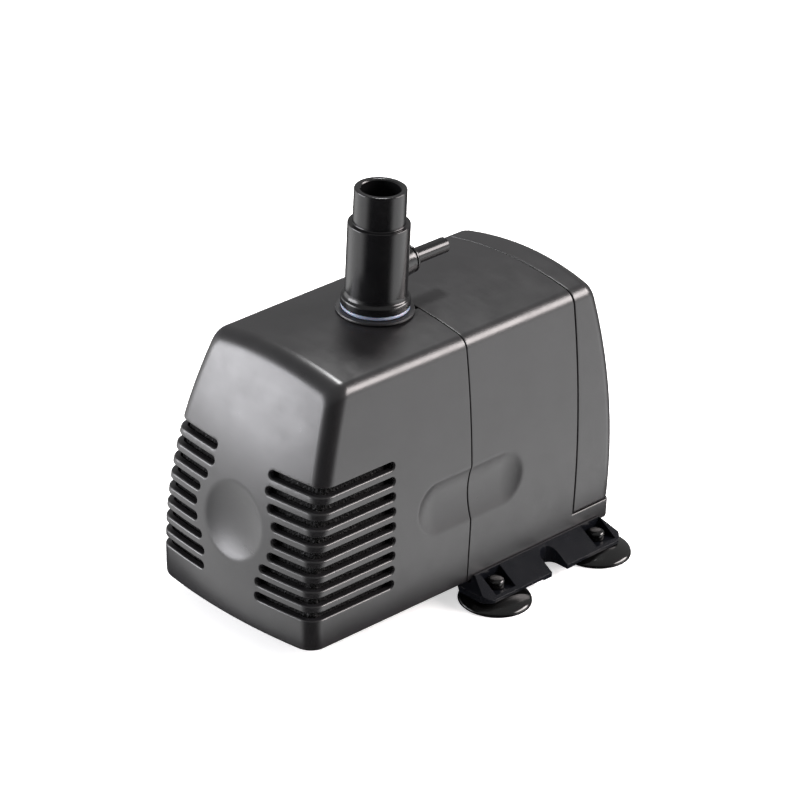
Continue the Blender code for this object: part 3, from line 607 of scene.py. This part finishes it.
def press(point):
    """Sinks the dish into the front face and the finger hollows into the sides."""
    x, y, z = point
    if y < -0.070 and abs(x) < 0.024 and abs(z - AXIS_Z) < 0.024:
        distance = math.hypot(x, z - AXIS_Z)
        sunk = bowl(distance, DISH_RADIUS, DISH_DEPTH, 0.00012)
        if sunk > 0.00002:
            y += sunk
    if abs(x) > 0.040 and abs(z - GRIP_Z) < 0.016 and abs(y - SEAM_Y) < 0.036:
        straight = GRIP_LENGTH / 2 - GRIP_HEIGHT / 2
        along = max(0.0, abs(y - SEAM_Y) - straight)
        distance = math.hypot(along, z - GRIP_Z)
        sunk = bowl(distance, GRIP_HEIGHT / 2, GRIP_DEPTH, 0.00007)
        if sunk > 0.00002:
            x -= math.copysign(sunk, x)
    return x, y, z


# ---------------------------------------------------------------- strainer cover
def tapered(loop, y):
    return [(x * taper(y), y, z) for x, z in loop]


def front_loops(inset, start_y, stations, edge=0.0):
    """Loops from the joint to the rounded front, and the rows that close the front."""
    loops = []
    outline = loop_of(inset)
    first = [(x * (1 - COVER_TAPER), front_face(x, z) + END_ROUND, z) for x, z in outline]
    if edge:
        for back, sink in ((0.0, 1.0), (0.15, 0.5), (0.5, 0.13), (1.0, 0.0)):
            y = start_y - edge * back
            loops.append(tapered(loop_of(inset + edge * sink, -edge * sink), y))
    else:
        loops.append(tapered(outline, start_y))
    for y in stations:
        loops.append(tapered(outline, y))
    last_y = loops[-1][0][1]
    for step in range(1, 9):
        t = step / 8
        loops.append([(x0 + (x1 - x0) * t, last_y + (y1 - last_y) * t, z0)
                      for (x0, _, z0), (x1, y1, _) in zip(loops[-step], first)])
    steps = 12
    bend = END_ROUND - inset
    for step in range(1, steps + 1):
        angle = math.pi / 2 * step / steps
        shrink = bend * (1 - math.cos(angle))
        back = bend * (1 - math.sin(angle)) + inset
        ring = loop_of(inset + shrink, -shrink)
        loops.append([(x * (1 - COVER_TAPER), front_face(x, z) + back, z) for x, z in ring])
    parts = section(inset + bend, -bend)
    shrunk = [[(x * (1 - COVER_TAPER), z) for x, z in part] for part in parts]
    rows = cap_rows(shrunk, lambda x, z: front_face(x / (1 - COVER_TAPER), z) + inset)
    return loops, rows


def slot_inner(z):
    clear = math.sqrt(max(0.0, SLOT_DISH_CLEAR**2 - (z - AXIS_Z) ** 2))
    return max(SLOT_EDGE_X, clear)


def slot_cutter(name, level, side):
    """A slot that follows the cover round its corner, its mouth flaring into a rounded edge."""
    centre = SLOT_LOWEST_Z + SLOT_PITCH * level
    half = SLOT_HEIGHT / 2
    lip = 0.0009
    levels = [(-0.0052, 0.0), (-lip, 0.0)]
    for angle in (20, 38, 52, 62):
        a = math.radians(angle)
        levels.append((-lip * (1 - math.sin(a)), lip * (1 - math.cos(a))))
    levels.append((0.0012, levels[-1][1] + (0.0012 - levels[-1][0]) * math.tan(math.radians(62))))
    inner_x = slot_inner(centre) + half
    rear_y = SLOT_REAR_Y - half

    def surface(kind, t, z, out):
        """A point on the cover, out from its face: on the front at x = t, round the corner, or on the side."""
        height = z - BODY_Z
        if kind == "front":
            slope = 2 * FRONT_SWEEP * (height - WAIST)
            y = front_face(t / (1 - COVER_TAPER), z)
            return t, y - out * math.cos(math.atan(slope)), z
        if kind == "corner":
            shrink = END_ROUND * (1 - math.cos(t))
            back = END_ROUND * (1 - math.sin(t))
            raw = half_width(height) - shrink
            return raw * (1 - COVER_TAPER) + out * math.cos(t), front_face(raw, z) + back - out * math.sin(t), z
        return half_width(height) * taper(t) + out, t, z

    rings = []
    for out, flare in levels:
        h = half + flare
        ring = []

        def line(z, backwards):
            edge_x = (half_width(z - BODY_Z) - END_ROUND) * (1 - COVER_TAPER)
            corner_y = front_face(half_width(z - BODY_Z), z) + END_ROUND
            run = [surface("front", inner_x + (edge_x - inner_x) * k / 12, z, out) for k in range(13)]
            run += [surface("corner", math.pi / 2 * (1 - k / 10), z, out) for k in range(1, 10)]
            run += [surface("side", corner_y + (rear_y - corner_y) * k / 10, z, out) for k in range(11)]
            return run[::-1] if backwards else run

        ring += line(centre + h, False)
        for k in range(1, 12):
            a = math.pi * k / 12
            ring.append(surface("side", rear_y + h * math.sin(a), centre + h * math.cos(a), out))
        ring += line(centre - h, True)
        for k in range(1, 12):
            a = math.pi * k / 12
            ring.append(surface("front", inner_x - h * math.sin(a), centre - h * math.cos(a), out))
        rings.append([(side * x, y, z) for x, y, z in ring])
    count = len(rings[0])
    verts = [p for ring in rings for p in ring]
    faces = []
    for s in range(len(rings) - 1):
        for k in range(count):
            m = (k + 1) % count
            faces.append([s * count + k, s * count + m, (s + 1) * count + m, (s + 1) * count + k])
    span = 33  # points in each long side
    for base in (0, (len(rings) - 1) * count):
        arc_count = 11
        lower = [base + span + arc_count + k for k in range(span)][::-1]
        upper = [base + k for k in range(span)]
        for k in range(span - 1):
            faces.append([upper[k], upper[k + 1], lower[k + 1], lower[k]])
        faces.append([upper[-1]] + [base + span + k for k in range(arc_count)] + [lower[-1]])
        faces.append([lower[0]] + [base + 2 * span + arc_count + k for k in range(arc_count)] + [upper[0]])
    piece = skin(name, verts, faces)
    bm = bmesh.new()
    bm.from_mesh(piece.data)
    bmesh.ops.recalc_face_normals(bm, faces=bm.faces)
    bm.to_mesh(piece.data)
    bm.free()
    return piece


def join_cutters(name, pieces):
    """One cutter from several that don't touch."""
    bm = bmesh.new()
    for piece in pieces:
        bm.from_mesh(piece.data)
    mesh = bpy.data.meshes.new(name)
    bm.to_mesh(mesh)
    bm.free()
    for piece in pieces:
        cutters.remove(piece)
        bpy.data.objects.remove(piece)
    return put(name, mesh)


def make_cover():
    close = spread(SEAM_Y - 0.0006 - GAP / 2, SEAM_Y - 0.0345, -0.00085)[1:]
    loops, rows = front_loops(0.0, SEAM_Y - GAP / 2, close + [-0.040], edge=SEAM_EDGE)
    loops = [[press(p) for p in loop] for loop in loops]
    rows = [[press(p) for p in row] for row in rows]
    cover = shell("cover_shell", loops, rows, CASING)
    inner_loops, inner_rows = front_loops(WALL, SEAM_Y + 0.002, [SEAM_Y - 0.03])
    inner_rows = [[press(p) for p in row] for row in inner_rows]
    cut(cover, shell("cover_hollow", inner_loops, inner_rows))
    slots = [slot_cutter(f"slot_{level}_{side}", level, side) for level in range(SLOT_COUNT) for side in (-1, 1)]
    cut(cover, join_cutters("slots", slots))
    neck = NECK_RADIUS + 0.0005
    mouth = arc((0, OUTLET_Y), neck, 180, 360, 40) + [(neck, SEAM_Y + 0.002), (-neck, SEAM_Y + 0.002)]
    cut(cover, prism("neck_slot", mouth, BODY_TOP_Z - 0.008, BODY_TOP_Z + 0.004))
    return cover


# ---------------------------------------------------------------- motor housing
def edge_loops(joint_y, inwards, edge, floor=0.0):
    """Loops that round the rim at a joint, from the joint plane inwards along the piece."""
    loops = []
    for back, sink in ((0.0, 1.0), (0.15, 0.5), (0.5, 0.13), (1.0, 0.0)):
        y = joint_y + inwards * edge * back
        loops.append([(x, y, z) for x, z in loop_of(edge * sink, floor - edge * sink)])
    return loops


def straight(name, inset, low_y, high_y, floor=0.0):
    """A cutter or filler with the casing's outline between two Y values."""
    return shell(name, [[(x, y, z) for x, z in loop_of(inset, floor)] for y in (low_y, high_y)])


def cylinder(name, radius, centre, reach, axis="Y", steps=64):
    return turned(name, [(0, reach), (radius, reach), (radius, -reach), (0, -reach)], location=centre, axis=axis,
                  steps=steps)


def soften(piece, width, segments=3, angle=30.0):
    modifier = piece.modifiers.new("soften", "BEVEL")
    modifier.width = width
    modifier.segments = segments
    modifier.limit_method = "ANGLE"
    modifier.angle_limit = math.radians(angle)
    modifier.use_clamp_overlap = True
    return piece


def screw_places():
    step = SCREW_CIRCLE * math.sqrt(0.5)
    return [(x * step, AXIS_Z + z * step) for x in (-1, 1) for z in (-1, 1)]


def make_housing():
    front = SEAM_Y + GAP / 2
    loops = edge_loops(front, 1, SEAM_EDGE)
    dense = spread(SEAM_Y + 0.0006 + SEAM_EDGE, SEAM_Y + 0.0345, 0.00085) + [SEAM_Y + 0.046]
    outline = loop_of()
    loops += [[(x, y, z) for x, z in outline] for y in dense]
    loops += edge_loops(CAP_SEAM_Y, -1, CAP_EDGE)[::-1]
    loops = [[press(p) for p in loop] for loop in loops]
    housing = shell("housing_shell", loops, material=CASING)
    ledge_x = half_width(0)
    corner = 0.0035
    right = arc((ledge_x - corner, LEDGE_REAR_Y - corner), corner, 0, 80, 14) + [(0.020, LEDGE_REAR_Y + 0.0022)]
    ledge = [(ledge_x, CAP_SEAM_Y - 0.004)] + right
    ledge += [(-x, y) for x, y in reversed(ledge)]
    cut(housing, soften(prism("ledge", ledge, BODY_Z, BODY_Z + LEDGE_HEIGHT), 0.0006), "UNION")
    cut(housing, straight("cover_lip", WALL + GAP, SEAM_Y - 0.006, SEAM_Y + 0.002), "UNION")
    cut(housing, straight("lip_hollow", WALL + GAP + 0.002, SEAM_Y - 0.008, front))
    cut(housing, straight("motor_space", WALL + 0.0002, SEAM_Y + 0.003, CAP_SEAM_Y + 0.001))
    for index, (x, z) in enumerate(screw_places()):
        boss = [(0, 0), (0.0040, 0), (0.0040, -0.0085), (0, -0.0085)]
        cut(housing, turned(f"screw_boss_{index}", boss, location=(x, SEAM_Y + 0.0015, z), axis="Y", steps=40), "UNION")
        hole = [(0, 0.012), (0.0018, 0.012), (0.0018, -0.0075), (0, -0.0075)]
        cut(housing, turned(f"screw_hole_{index}", hole, location=(x, SEAM_Y, z), axis="Y", steps=30))
    cut(housing, cylinder("can_hole", CAN_RADIUS + GAP, (0, SEAM_Y, AXIS_Z), 0.01))
    cut(housing, cylinder("lip_neck", NECK_RADIUS + 0.0005, (0, OUTLET_Y, BODY_TOP_Z), 0.02, "Z"))
    return housing


# ---------------------------------------------------------------- rear cap
def rear_loops(inset, wall, floor, loops):
    """Adds the run to the rounded rear to loops, and gives the rows that close it."""
    outline = loop_of(inset, floor)
    start = loops[-1]
    first = [(x, rear_face(x, z) - END_ROUND, z) for x, z in outline]
    for step in range(1, 9):
        t = step / 8
        loops.append([(x, y0 + (y1 - y0) * t, z) for (_, y0, _), (x, y1, z) in zip(start, first)])
    bend = END_ROUND - wall
    for step in range(1, 13):
        angle = math.pi / 2 * step / 12
        shrink = bend * (1 - math.cos(angle))
        back = bend * (1 - math.sin(angle)) + wall
        loops.append([(x, rear_face(x, z) - back, z) for x, z in loop_of(inset + shrink, floor - shrink)])
    return cap_rows(section(inset + bend, floor - bend), lambda x, z: rear_face(x, z) - wall)


def make_cap():
    floor = LEDGE_HEIGHT + GAP
    loops = edge_loops(CAP_SEAM_Y + GAP, 1, CAP_EDGE, floor)
    rows = rear_loops(0.0, 0.0, floor, loops)
    cap = shell("cap_shell", loops, rows, CASING)
    inset = WALL + 0.0014
    hollow = [[(x, CAP_SEAM_Y - 0.002, z) for x, z in loop_of(inset, floor)]]
    hollow_rows = rear_loops(inset, WALL, floor, hollow)
    cut(cap, shell("cap_hollow", hollow, hollow_rows))
    cut(cap, straight("cap_lip", WALL + 0.0002 + GAP, CAP_SEAM_Y - 0.0035, CAP_SEAM_Y + 0.003, floor), "UNION")
    cut(cap, straight("cap_lip_hollow", WALL + 0.0022 + GAP, CAP_SEAM_Y - 0.005, CAP_SEAM_Y + 0.005, floor))
    cut(cap, cylinder("gland_hole", 0.0059, (0, REAR_Y, GLAND_Z), 0.02))
    return cap


# ---------------------------------------------------------------- base plate and suction cups
def make_plate():
    inner_x = half_width(0) + GAP
    bed = BODY_Z - GAP
    edge_x = PLATE_EDGE_X + 0.001
    right = [(edge_x, PLATE_FOOT_Z), (edge_x, PLATE_EDGE_Z - 0.0006), (inner_x + 0.0008, PLATE_RIM_Z),
             (inner_x, PLATE_RIM_Z), (inner_x, bed)]
    hollow = [(0.0400, bed - 0.0026), (0.0412, PLATE_FOOT_Z)]
    across = right + [(-x, z) for x, z in reversed(right)] + [(-x, z) for x, z in reversed(hollow)] + hollow
    plate = prism("plate", across, PLATE_Y[0] - 0.002, PLATE_Y[1] + 0.002, BASE, along="Y")
    for side in (-1, 1):
        ends = sorted((side * 0.0445, side * edge_x))
        cut(plate, block(f"pad_{side}", (ends[0], NOTCH_Y - PAD_HALF, PAD_FOOT_Z),
                         (ends[1], NOTCH_Y + PAD_HALF, PLATE_FOOT_Z + 0.001)), "UNION")
    front, rear = PLATE_Y
    corner = 0.005
    plan = arc((PLATE_EDGE_X - corner, front + corner), corner, -90, 0, 14)
    plan += [(PLATE_EDGE_X, NOTCH_Y - NOTCH_RADIUS)] + arc((NOTCH_X, NOTCH_Y), NOTCH_RADIUS, 270, 90, 36)
    plan += [(PLATE_EDGE_X, NOTCH_Y + NOTCH_RADIUS)]
    plan += arc((PLATE_EDGE_X - corner, rear - corner), corner, 0, 90, 14)
    plan += [(-x, y) for x, y in reversed(plan)]
    cut(plate, prism("plate_plan", plan, 0, 0.020), "INTERSECT")
    hip = [(front - 0.001, 0), (front - 0.001, PLATE_EDGE_Z), (front + 0.0042, PLATE_RIM_Z + 0.0006),
           (rear - 0.0042, PLATE_RIM_Z + 0.0006), (rear + 0.001, PLATE_EDGE_Z), (rear + 0.001, 0)]
    cut(plate, prism("plate_hip", hip, -0.060, 0.060, along="X"), "INTERSECT")
    for side in (-1, 1):
        for place, y in enumerate(CUP_Y):
            half = POCKET_SIDE / 2
            outer = PLATE_EDGE_X - 0.0014
            ends = sorted((side * (outer - POCKET_SIDE + 0.0018), side * outer))
            cut(plate, block(f"pocket_{side}_{place}", (ends[0], y - half, POCKET_FLOOR_Z), (ends[1], y + half, 0.020)))
            cut(plate, cylinder(f"cup_hole_{side}_{place}", CUP_NECK + GAP, (side * CUP_X, y, 0), 0.02, "Z", 40))
    return plate


def make_cup(name, x, y):
    top = [(0, 0.0102), (0.0026, 0.0101), (0.0036, 0.0093), (0.0036, POCKET_FLOOR_Z + GAP),
           (CUP_NECK, POCKET_FLOOR_Z + GAP), (CUP_NECK, 0.0044), (0.0062, 0.0043), (0.0095, 0.0037), (0.0125, 0.0028),
           (0.0146, 0.0019), (CUP_RADIUS, 0.0010), (CUP_RADIUS, 0.0), (0.0132, 0.0), (0.0090, 0.0013), (0, 0.0019)]
    return turned(name, rounded(top, 0.0009, 3), RUBBER, (x, y, 0), steps=72)


# ---------------------------------------------------------------- pump chamber, nozzle and their small parts
def make_chamber():
    start = SEAM_Y - GAP / 2
    depth = start - CHAMBER_FRONT_Y
    outer = [(0, depth), (CHAMBER_RADIUS, depth), (CHAMBER_RADIUS, 0.0035), (CHAMBER_FLANGE, 0.0035),
             (CHAMBER_FLANGE, 0), (0.0294, 0), (0.0294, 0.0018), (0.0270, 0.0018), (0.0270, 0), (0, 0)]
    chamber = turned("chamber", outer, INNER, (0, start, AXIS_Z), axis="Y", steps=120)
    spigot = 0.0102
    rim = BODY_TOP_Z + 0.0012
    tube = [(0, rim + 0.0098), (spigot - 0.0008, rim + 0.0098), (spigot, rim + 0.0090), (spigot, rim),
            (COLLAR_RADIUS - 0.0005, rim), (COLLAR_RADIUS - 0.00015, rim - 0.00015), (COLLAR_RADIUS, rim - 0.0005),
            (COLLAR_RADIUS, BODY_TOP_Z + GAP), (NECK_RADIUS, BODY_TOP_Z + GAP), (NECK_RADIUS, AXIS_Z + 0.020),
            (0, AXIS_Z + 0.020)]
    cut(chamber, turned("outlet_tube", tube, location=(0, OUTLET_Y, 0), steps=110), "UNION")
    cut(chamber, cylinder("cavity", CHAMBER_CAVITY, (0, SEAM_Y - 0.012, AXIS_Z), 0.022, "Y", 118))
    cut(chamber, cylinder("outlet_bore", OUTLET_BORE, (0, OUTLET_Y, 0.106), 0.044, "Z", 80))
    for index, (x, z) in enumerate(screw_places()):
        cut(chamber, cylinder(f"flange_hole_{index}", 0.0018, (x, SEAM_Y, z), 0.02, "Y", 30))
    return chamber


def make_nozzle():
    foot = BODY_TOP_Z + 0.0030
    socket = 0.0106
    outside = [(OUTLET_BORE, TIP_Z - 0.0006), (OUTLET_BORE + 0.0005, TIP_Z), (TIP_RADIUS, TIP_Z),
               (TIP_RADIUS + 0.0001, SHOULDER_Z), (COLUMN_RADIUS, SHOULDER_Z), (COLUMN_RADIUS, BODY_TOP_Z + 0.0085),
               (COLUMN_RADIUS + 0.0004, BODY_TOP_Z + 0.0070), (COLUMN_RADIUS + 0.0015, BODY_TOP_Z + 0.0062),
               (COLUMN_RADIUS + 0.0015, foot), (socket, foot)]
    profile = rounded(outside, 0.0006, 5) + [(socket, BODY_TOP_Z + 0.0118), (OUTLET_BORE, BODY_TOP_Z + 0.0130)]
    nozzle = turned("nozzle", profile, GLOSS, (0, OUTLET_Y, 0), steps=128, closed=True)
    end = COLUMN_RADIUS + 0.0046
    boss = [(0, -0.0104), (0.0070, -0.0104), (0.0066, -0.0130), (BOSS_RADIUS, 0.0014 - end), (BOSS_RADIUS, 0.0003 - end),
            (BOSS_RADIUS - 0.0003, -end), (0, -end)]
    cut(nozzle, turned("air_boss", boss, location=(0, OUTLET_Y, BARB_Z), axis="Y", steps=70), "UNION")
    cut(nozzle, cylinder("bore_clear", OUTLET_BORE - 0.00001, (0, OUTLET_Y, BARB_Z + 0.018), 0.02, "Z", 126))
    cut(nozzle, cylinder("air_hole", 0.0026, (0, OUTLET_Y + 0.0105, BARB_Z), 0.0105, "Y", 40))
    return nozzle


def make_barb():
    start = COLUMN_RADIUS + 0.0046 + GAP
    flange = BOSS_RADIUS - 0.0001
    outside = [(0.0023, -start), (flange, -start), (flange, -start - 0.0012), (BARB_RADIUS, -start - 0.0016),
               (BARB_RADIUS, -BARB_END), (0.0012, -BARB_END), (0.0012, -0.0095)]
    return turned("barb", rounded(outside, 0.0004) + [(0.0023, -0.0095)], GLOSS, (0, OUTLET_Y, BARB_Z), axis="Y",
                  steps=64, closed=True)


def make_seal():
    ring = arc((0.0130, 0), 0.0008, 90, -270, 20)[:-1]
    return turned("seal_ring", ring, SEAL, (0, OUTLET_Y, BODY_TOP_Z + 0.0021), steps=128, closed=True)


def make_gland():
    outside = [(0.0036, 0.0032), (0.0062, 0.0032), (0.0078, 0.0012), (0.0080, GAP), (0.0056, GAP),
               (0.0056, -WALL - GAP), (0.0072, -WALL - GAP), (0.0068, -0.0050), (0.0036, -0.0050)]
    outside = [(r, -h) for r, h in outside]
    return turned("gland", rounded(outside, 0.0004), RUBBER, (0, REAR_Y, GLAND_Z), axis="Y", steps=72, closed=True)


def make_foam():
    """Foam block close behind the cover's walls, its surface pitted in the mesh."""
    inset = WALL + 0.0011
    back = CHAMBER_FRONT_Y - 0.0060
    loops, rows = front_loops(inset, back, spread(back - 0.002, -0.058, -0.0015))
    rows = [[press(p) for p in row] for row in rows]
    foam_block = shell("foam_block", loops, rows, FOAM)
    subdivided = foam_block.modifiers.new("finer", "SUBSURF")
    subdivided.subdivision_type = "SIMPLE"
    subdivided.levels = subdivided.render_levels = 1
    settle(foam_block, 180.0, weighted=False)
    mesh = foam_block.data
    moved = []
    for vert in mesh.vertices:
        pit = noise.noise(vert.co * 900.0) + 0.6 * noise.noise(vert.co * 2100.0)
        depth = 0.00022 * max(-1.0, min(1.6, 1.0 - pit * 1.6))
        moved += list(vert.co - vert.normal * depth)
    mesh.vertices.foreach_set("co", moved)
    mesh.update()
    return foam_block


# ---------------------------------------------------------------- what each piece stands for
def stand(piece, node, body):
    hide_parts(node)
    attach(piece, body)


stand(settle(make_cover()), "strainer_cover", "strainer")
stand(make_foam(), "filter_foam", "strainer")
stand(settle(make_housing()), "motor_housing", "casing")
stand(settle(make_cap()), "rear_cap", "casing")
stand(settle(soften(make_plate(), 0.0004, 2, 25.0)), "base_plate", "casing")
for side, hand in ((-1, "left"), (1, "right")):
    for cup_y, end in zip(CUP_Y, ("front", "rear")):
        cup = make_cup(f"cup_{end}_{hand}", side * CUP_X, cup_y)
        stand(settle(cup, 50.0), f"suction_cup_{end}_{hand}", "casing")
stand(settle(make_chamber()), "pump_chamber", "casing")
stand(settle(make_nozzle()), "outlet_nozzle", "nozzle")
stand(settle(make_barb()), "air_barb", "nozzle")
stand(settle(make_seal(), 60.0), "outlet_seal", "casing")
stand(settle(make_gland()), "cord_gland", "casing")

CARRIED = {
    INNER: ("chamber_cover", "rotor_can"),
    SEAL: ("chamber_seal",),
    STAINLESS: ("chamber_screw_1", "chamber_screw_2", "chamber_screw_3", "chamber_screw_4"),
    RUBBER: ("bearing_bush_front", "bearing_bush_rear"),
    CERAMIC: ("rotor_shaft", "thrust_washer_front", "thrust_washer_rear"),
    NYLON: ("impeller", "bobbin_left", "bobbin_right"),
    MAGNET: ("rotor_magnet",),
    STEEL: ("stator_core",),
    COPPER: ("coil_left", "coil_right"),
    RESIN: ("potting_resin",),
}
for material, names in CARRIED.items():
    for node_name in names:
        for place in nodes[node_name].material_slots:
            place.material = material


# ---------------------------------------------------------------- stage, lights and camera
def camera_at(location, right, up, back, lens):
    data = bpy.data.cameras.new("camera")
    data.lens = lens
    data.sensor_width = 36.0
    data.clip_start = 0.01
    data.clip_end = 50.0
    cam = bpy.data.objects.new("camera", data)
    scene.collection.objects.link(cam)
    place = Matrix((right, up, back)).transposed().to_4x4()
    place.translation = location
    cam.matrix_world = place
    scene.camera = cam
    return cam


camera_at(Vector((0.96881, -1.02141 + SEAM_Y, 0.81309)), (0.70903, 0.70370, 0.04558), (-0.35596, 0.30136, 0.88458),
          (0.60874, -0.64342, 0.46416), 177.72)


def softbox(name, direction, distance, size, power, colour=(1, 1, 1), aim=(0, 0, 0.06)):
    data = bpy.data.lights.new(name, "AREA")
    data.shape = "RECTANGLE"
    data.size, data.size_y = size
    data.energy = power
    data.color = colour
    lamp = bpy.data.objects.new(name, data)
    scene.collection.objects.link(lamp)
    target = Vector(aim)
    lamp.location = target + Vector(direction).normalized() * distance
    lamp.rotation_euler = (target - lamp.location).to_track_quat("-Z", "Y").to_euler()
    lamp.visible_camera = False
    return lamp


softbox("softbox_front_left", (-0.64, -0.74, 0.19), 1.6, (1.1, 0.9), 36.0, (0.96, 0.955, 1.0))
softbox("softbox_right_rear", (0.52, 0.63, 0.43), 3.0, (2.3, 1.2), 165.0, (1.0, 0.93, 0.92))
softbox("softbox_top", (-0.30, 0.33, 0.88), 1.5, (0.25, 0.25), 14.0)


def make_world():
    world = bpy.data.worlds.new("studio")
    world.use_nodes = True
    scene.world = world
    tree = world.node_tree
    tree.nodes.clear()
    out = tree.nodes.new("ShaderNodeOutputWorld")
    place = tree.nodes.new("ShaderNodeTexCoord").outputs["Generated"]

    def math_node(operation, first, second):
        node = tree.nodes.new("ShaderNodeMath")
        node.operation = operation
        for socket, value in zip(node.inputs, (first, second)):
            if isinstance(value, (int, float)):
                socket.default_value = value
            else:
                tree.links.new(value, socket)
        return node.outputs["Value"]

    def lobe(direction, inner, outer, strength):
        dot = tree.nodes.new("ShaderNodeVectorMath")
        dot.operation = "DOT_PRODUCT"
        tree.links.new(place, dot.inputs[0])
        dot.inputs[1].default_value = Vector(direction).normalized()
        ranged = tree.nodes.new("ShaderNodeMapRange")
        ranged.interpolation_type = "SMOOTHSTEP"
        ranged.inputs["From Min"].default_value = math.cos(math.radians(outer))
        ranged.inputs["From Max"].default_value = math.cos(math.radians(inner))
        ranged.inputs["To Max"].default_value = strength
        tree.links.new(dot.outputs["Value"], ranged.inputs["Value"])
        return ranged.outputs["Result"]

    total = lobe((0, 0, 1), 0, 180, 0.5)
    total = math_node("ADD", total, lobe((-0.65, -0.65, -0.35), 15, 60, 2.1))
    total = math_node("ADD", total, lobe((0.66, 0.58, -0.44), 15, 45, 2.4))
    shade = math_node("SUBTRACT", 1.0, lobe((0.63, -0.62, -0.36), 30, 62, 1.0))
    total = math_node("MULTIPLY", total, shade)
    path = tree.nodes.new("ShaderNodeLightPath").outputs["Is Camera Ray"]
    mix = tree.nodes.new("ShaderNodeMix")
    mix.data_type = "FLOAT"
    tree.links.new(path, mix.inputs["Factor"])
    tree.links.new(total, mix.inputs[2])
    mix.inputs[3].default_value = 1.0
    background = tree.nodes.new("ShaderNodeBackground")
    background.inputs["Color"].default_value = (1, 1, 1, 1)
    tree.links.new(mix.outputs[0], background.inputs["Strength"])
    tree.links.new(background.outputs[0], out.inputs["Surface"])


make_world()


def make_floor():
    material = Nodes("studio_floor", 0.6)
    material.colour(material.ramp(material.noise(6.0, 2.0), [(0.3, (0.90, 0.90, 0.90)), (0.7, (0.93, 0.93, 0.93))]))
    material.normal(material.bump(material.noise(300.0), 0.05, 0.0002))
    material.shader.inputs["Emission Color"].default_value = (1, 1, 1, 1)
    material.shader.inputs["Emission Strength"].default_value = 0.55
    floor = skin("studio_floor", [(-6, -6, 0), (6, -6, 0), (6, 6, 0), (-6, 6, 0)], [[0, 1, 2, 3]], material.material)
    floor.visible_glossy = False


make_floor()


def make_card():
    """A dark card under the object, seen only in reflections, that darkens the walls towards the floor."""
    material = Nodes("dark_card", 0.9)
    material.colour(material.ramp(material.noise(20.0), [(0.3, (0.010, 0.010, 0.010)), (0.7, (0.016, 0.016, 0.016))]))
    low, high = cad_box
    margin = 0.035
    left, front, right, rear = low[0] - margin, low[1] - 0.012, high[0] + 0.002, high[1] + margin
    corners = [(left, front, 0.0002), (right, front, 0.0002), (right, rear, 0.0002), (left, rear, 0.0002)]
    card = skin("dark_card", corners, [[0, 1, 2, 3]], material.material)
    card.visible_camera = False
    card.visible_diffuse = False
    card.visible_shadow = False


make_card()
scene.view_settings.view_transform = "Standard"
scene.view_settings.look = "None"

for piece in cutters:
    bpy.data.objects.remove(piece)
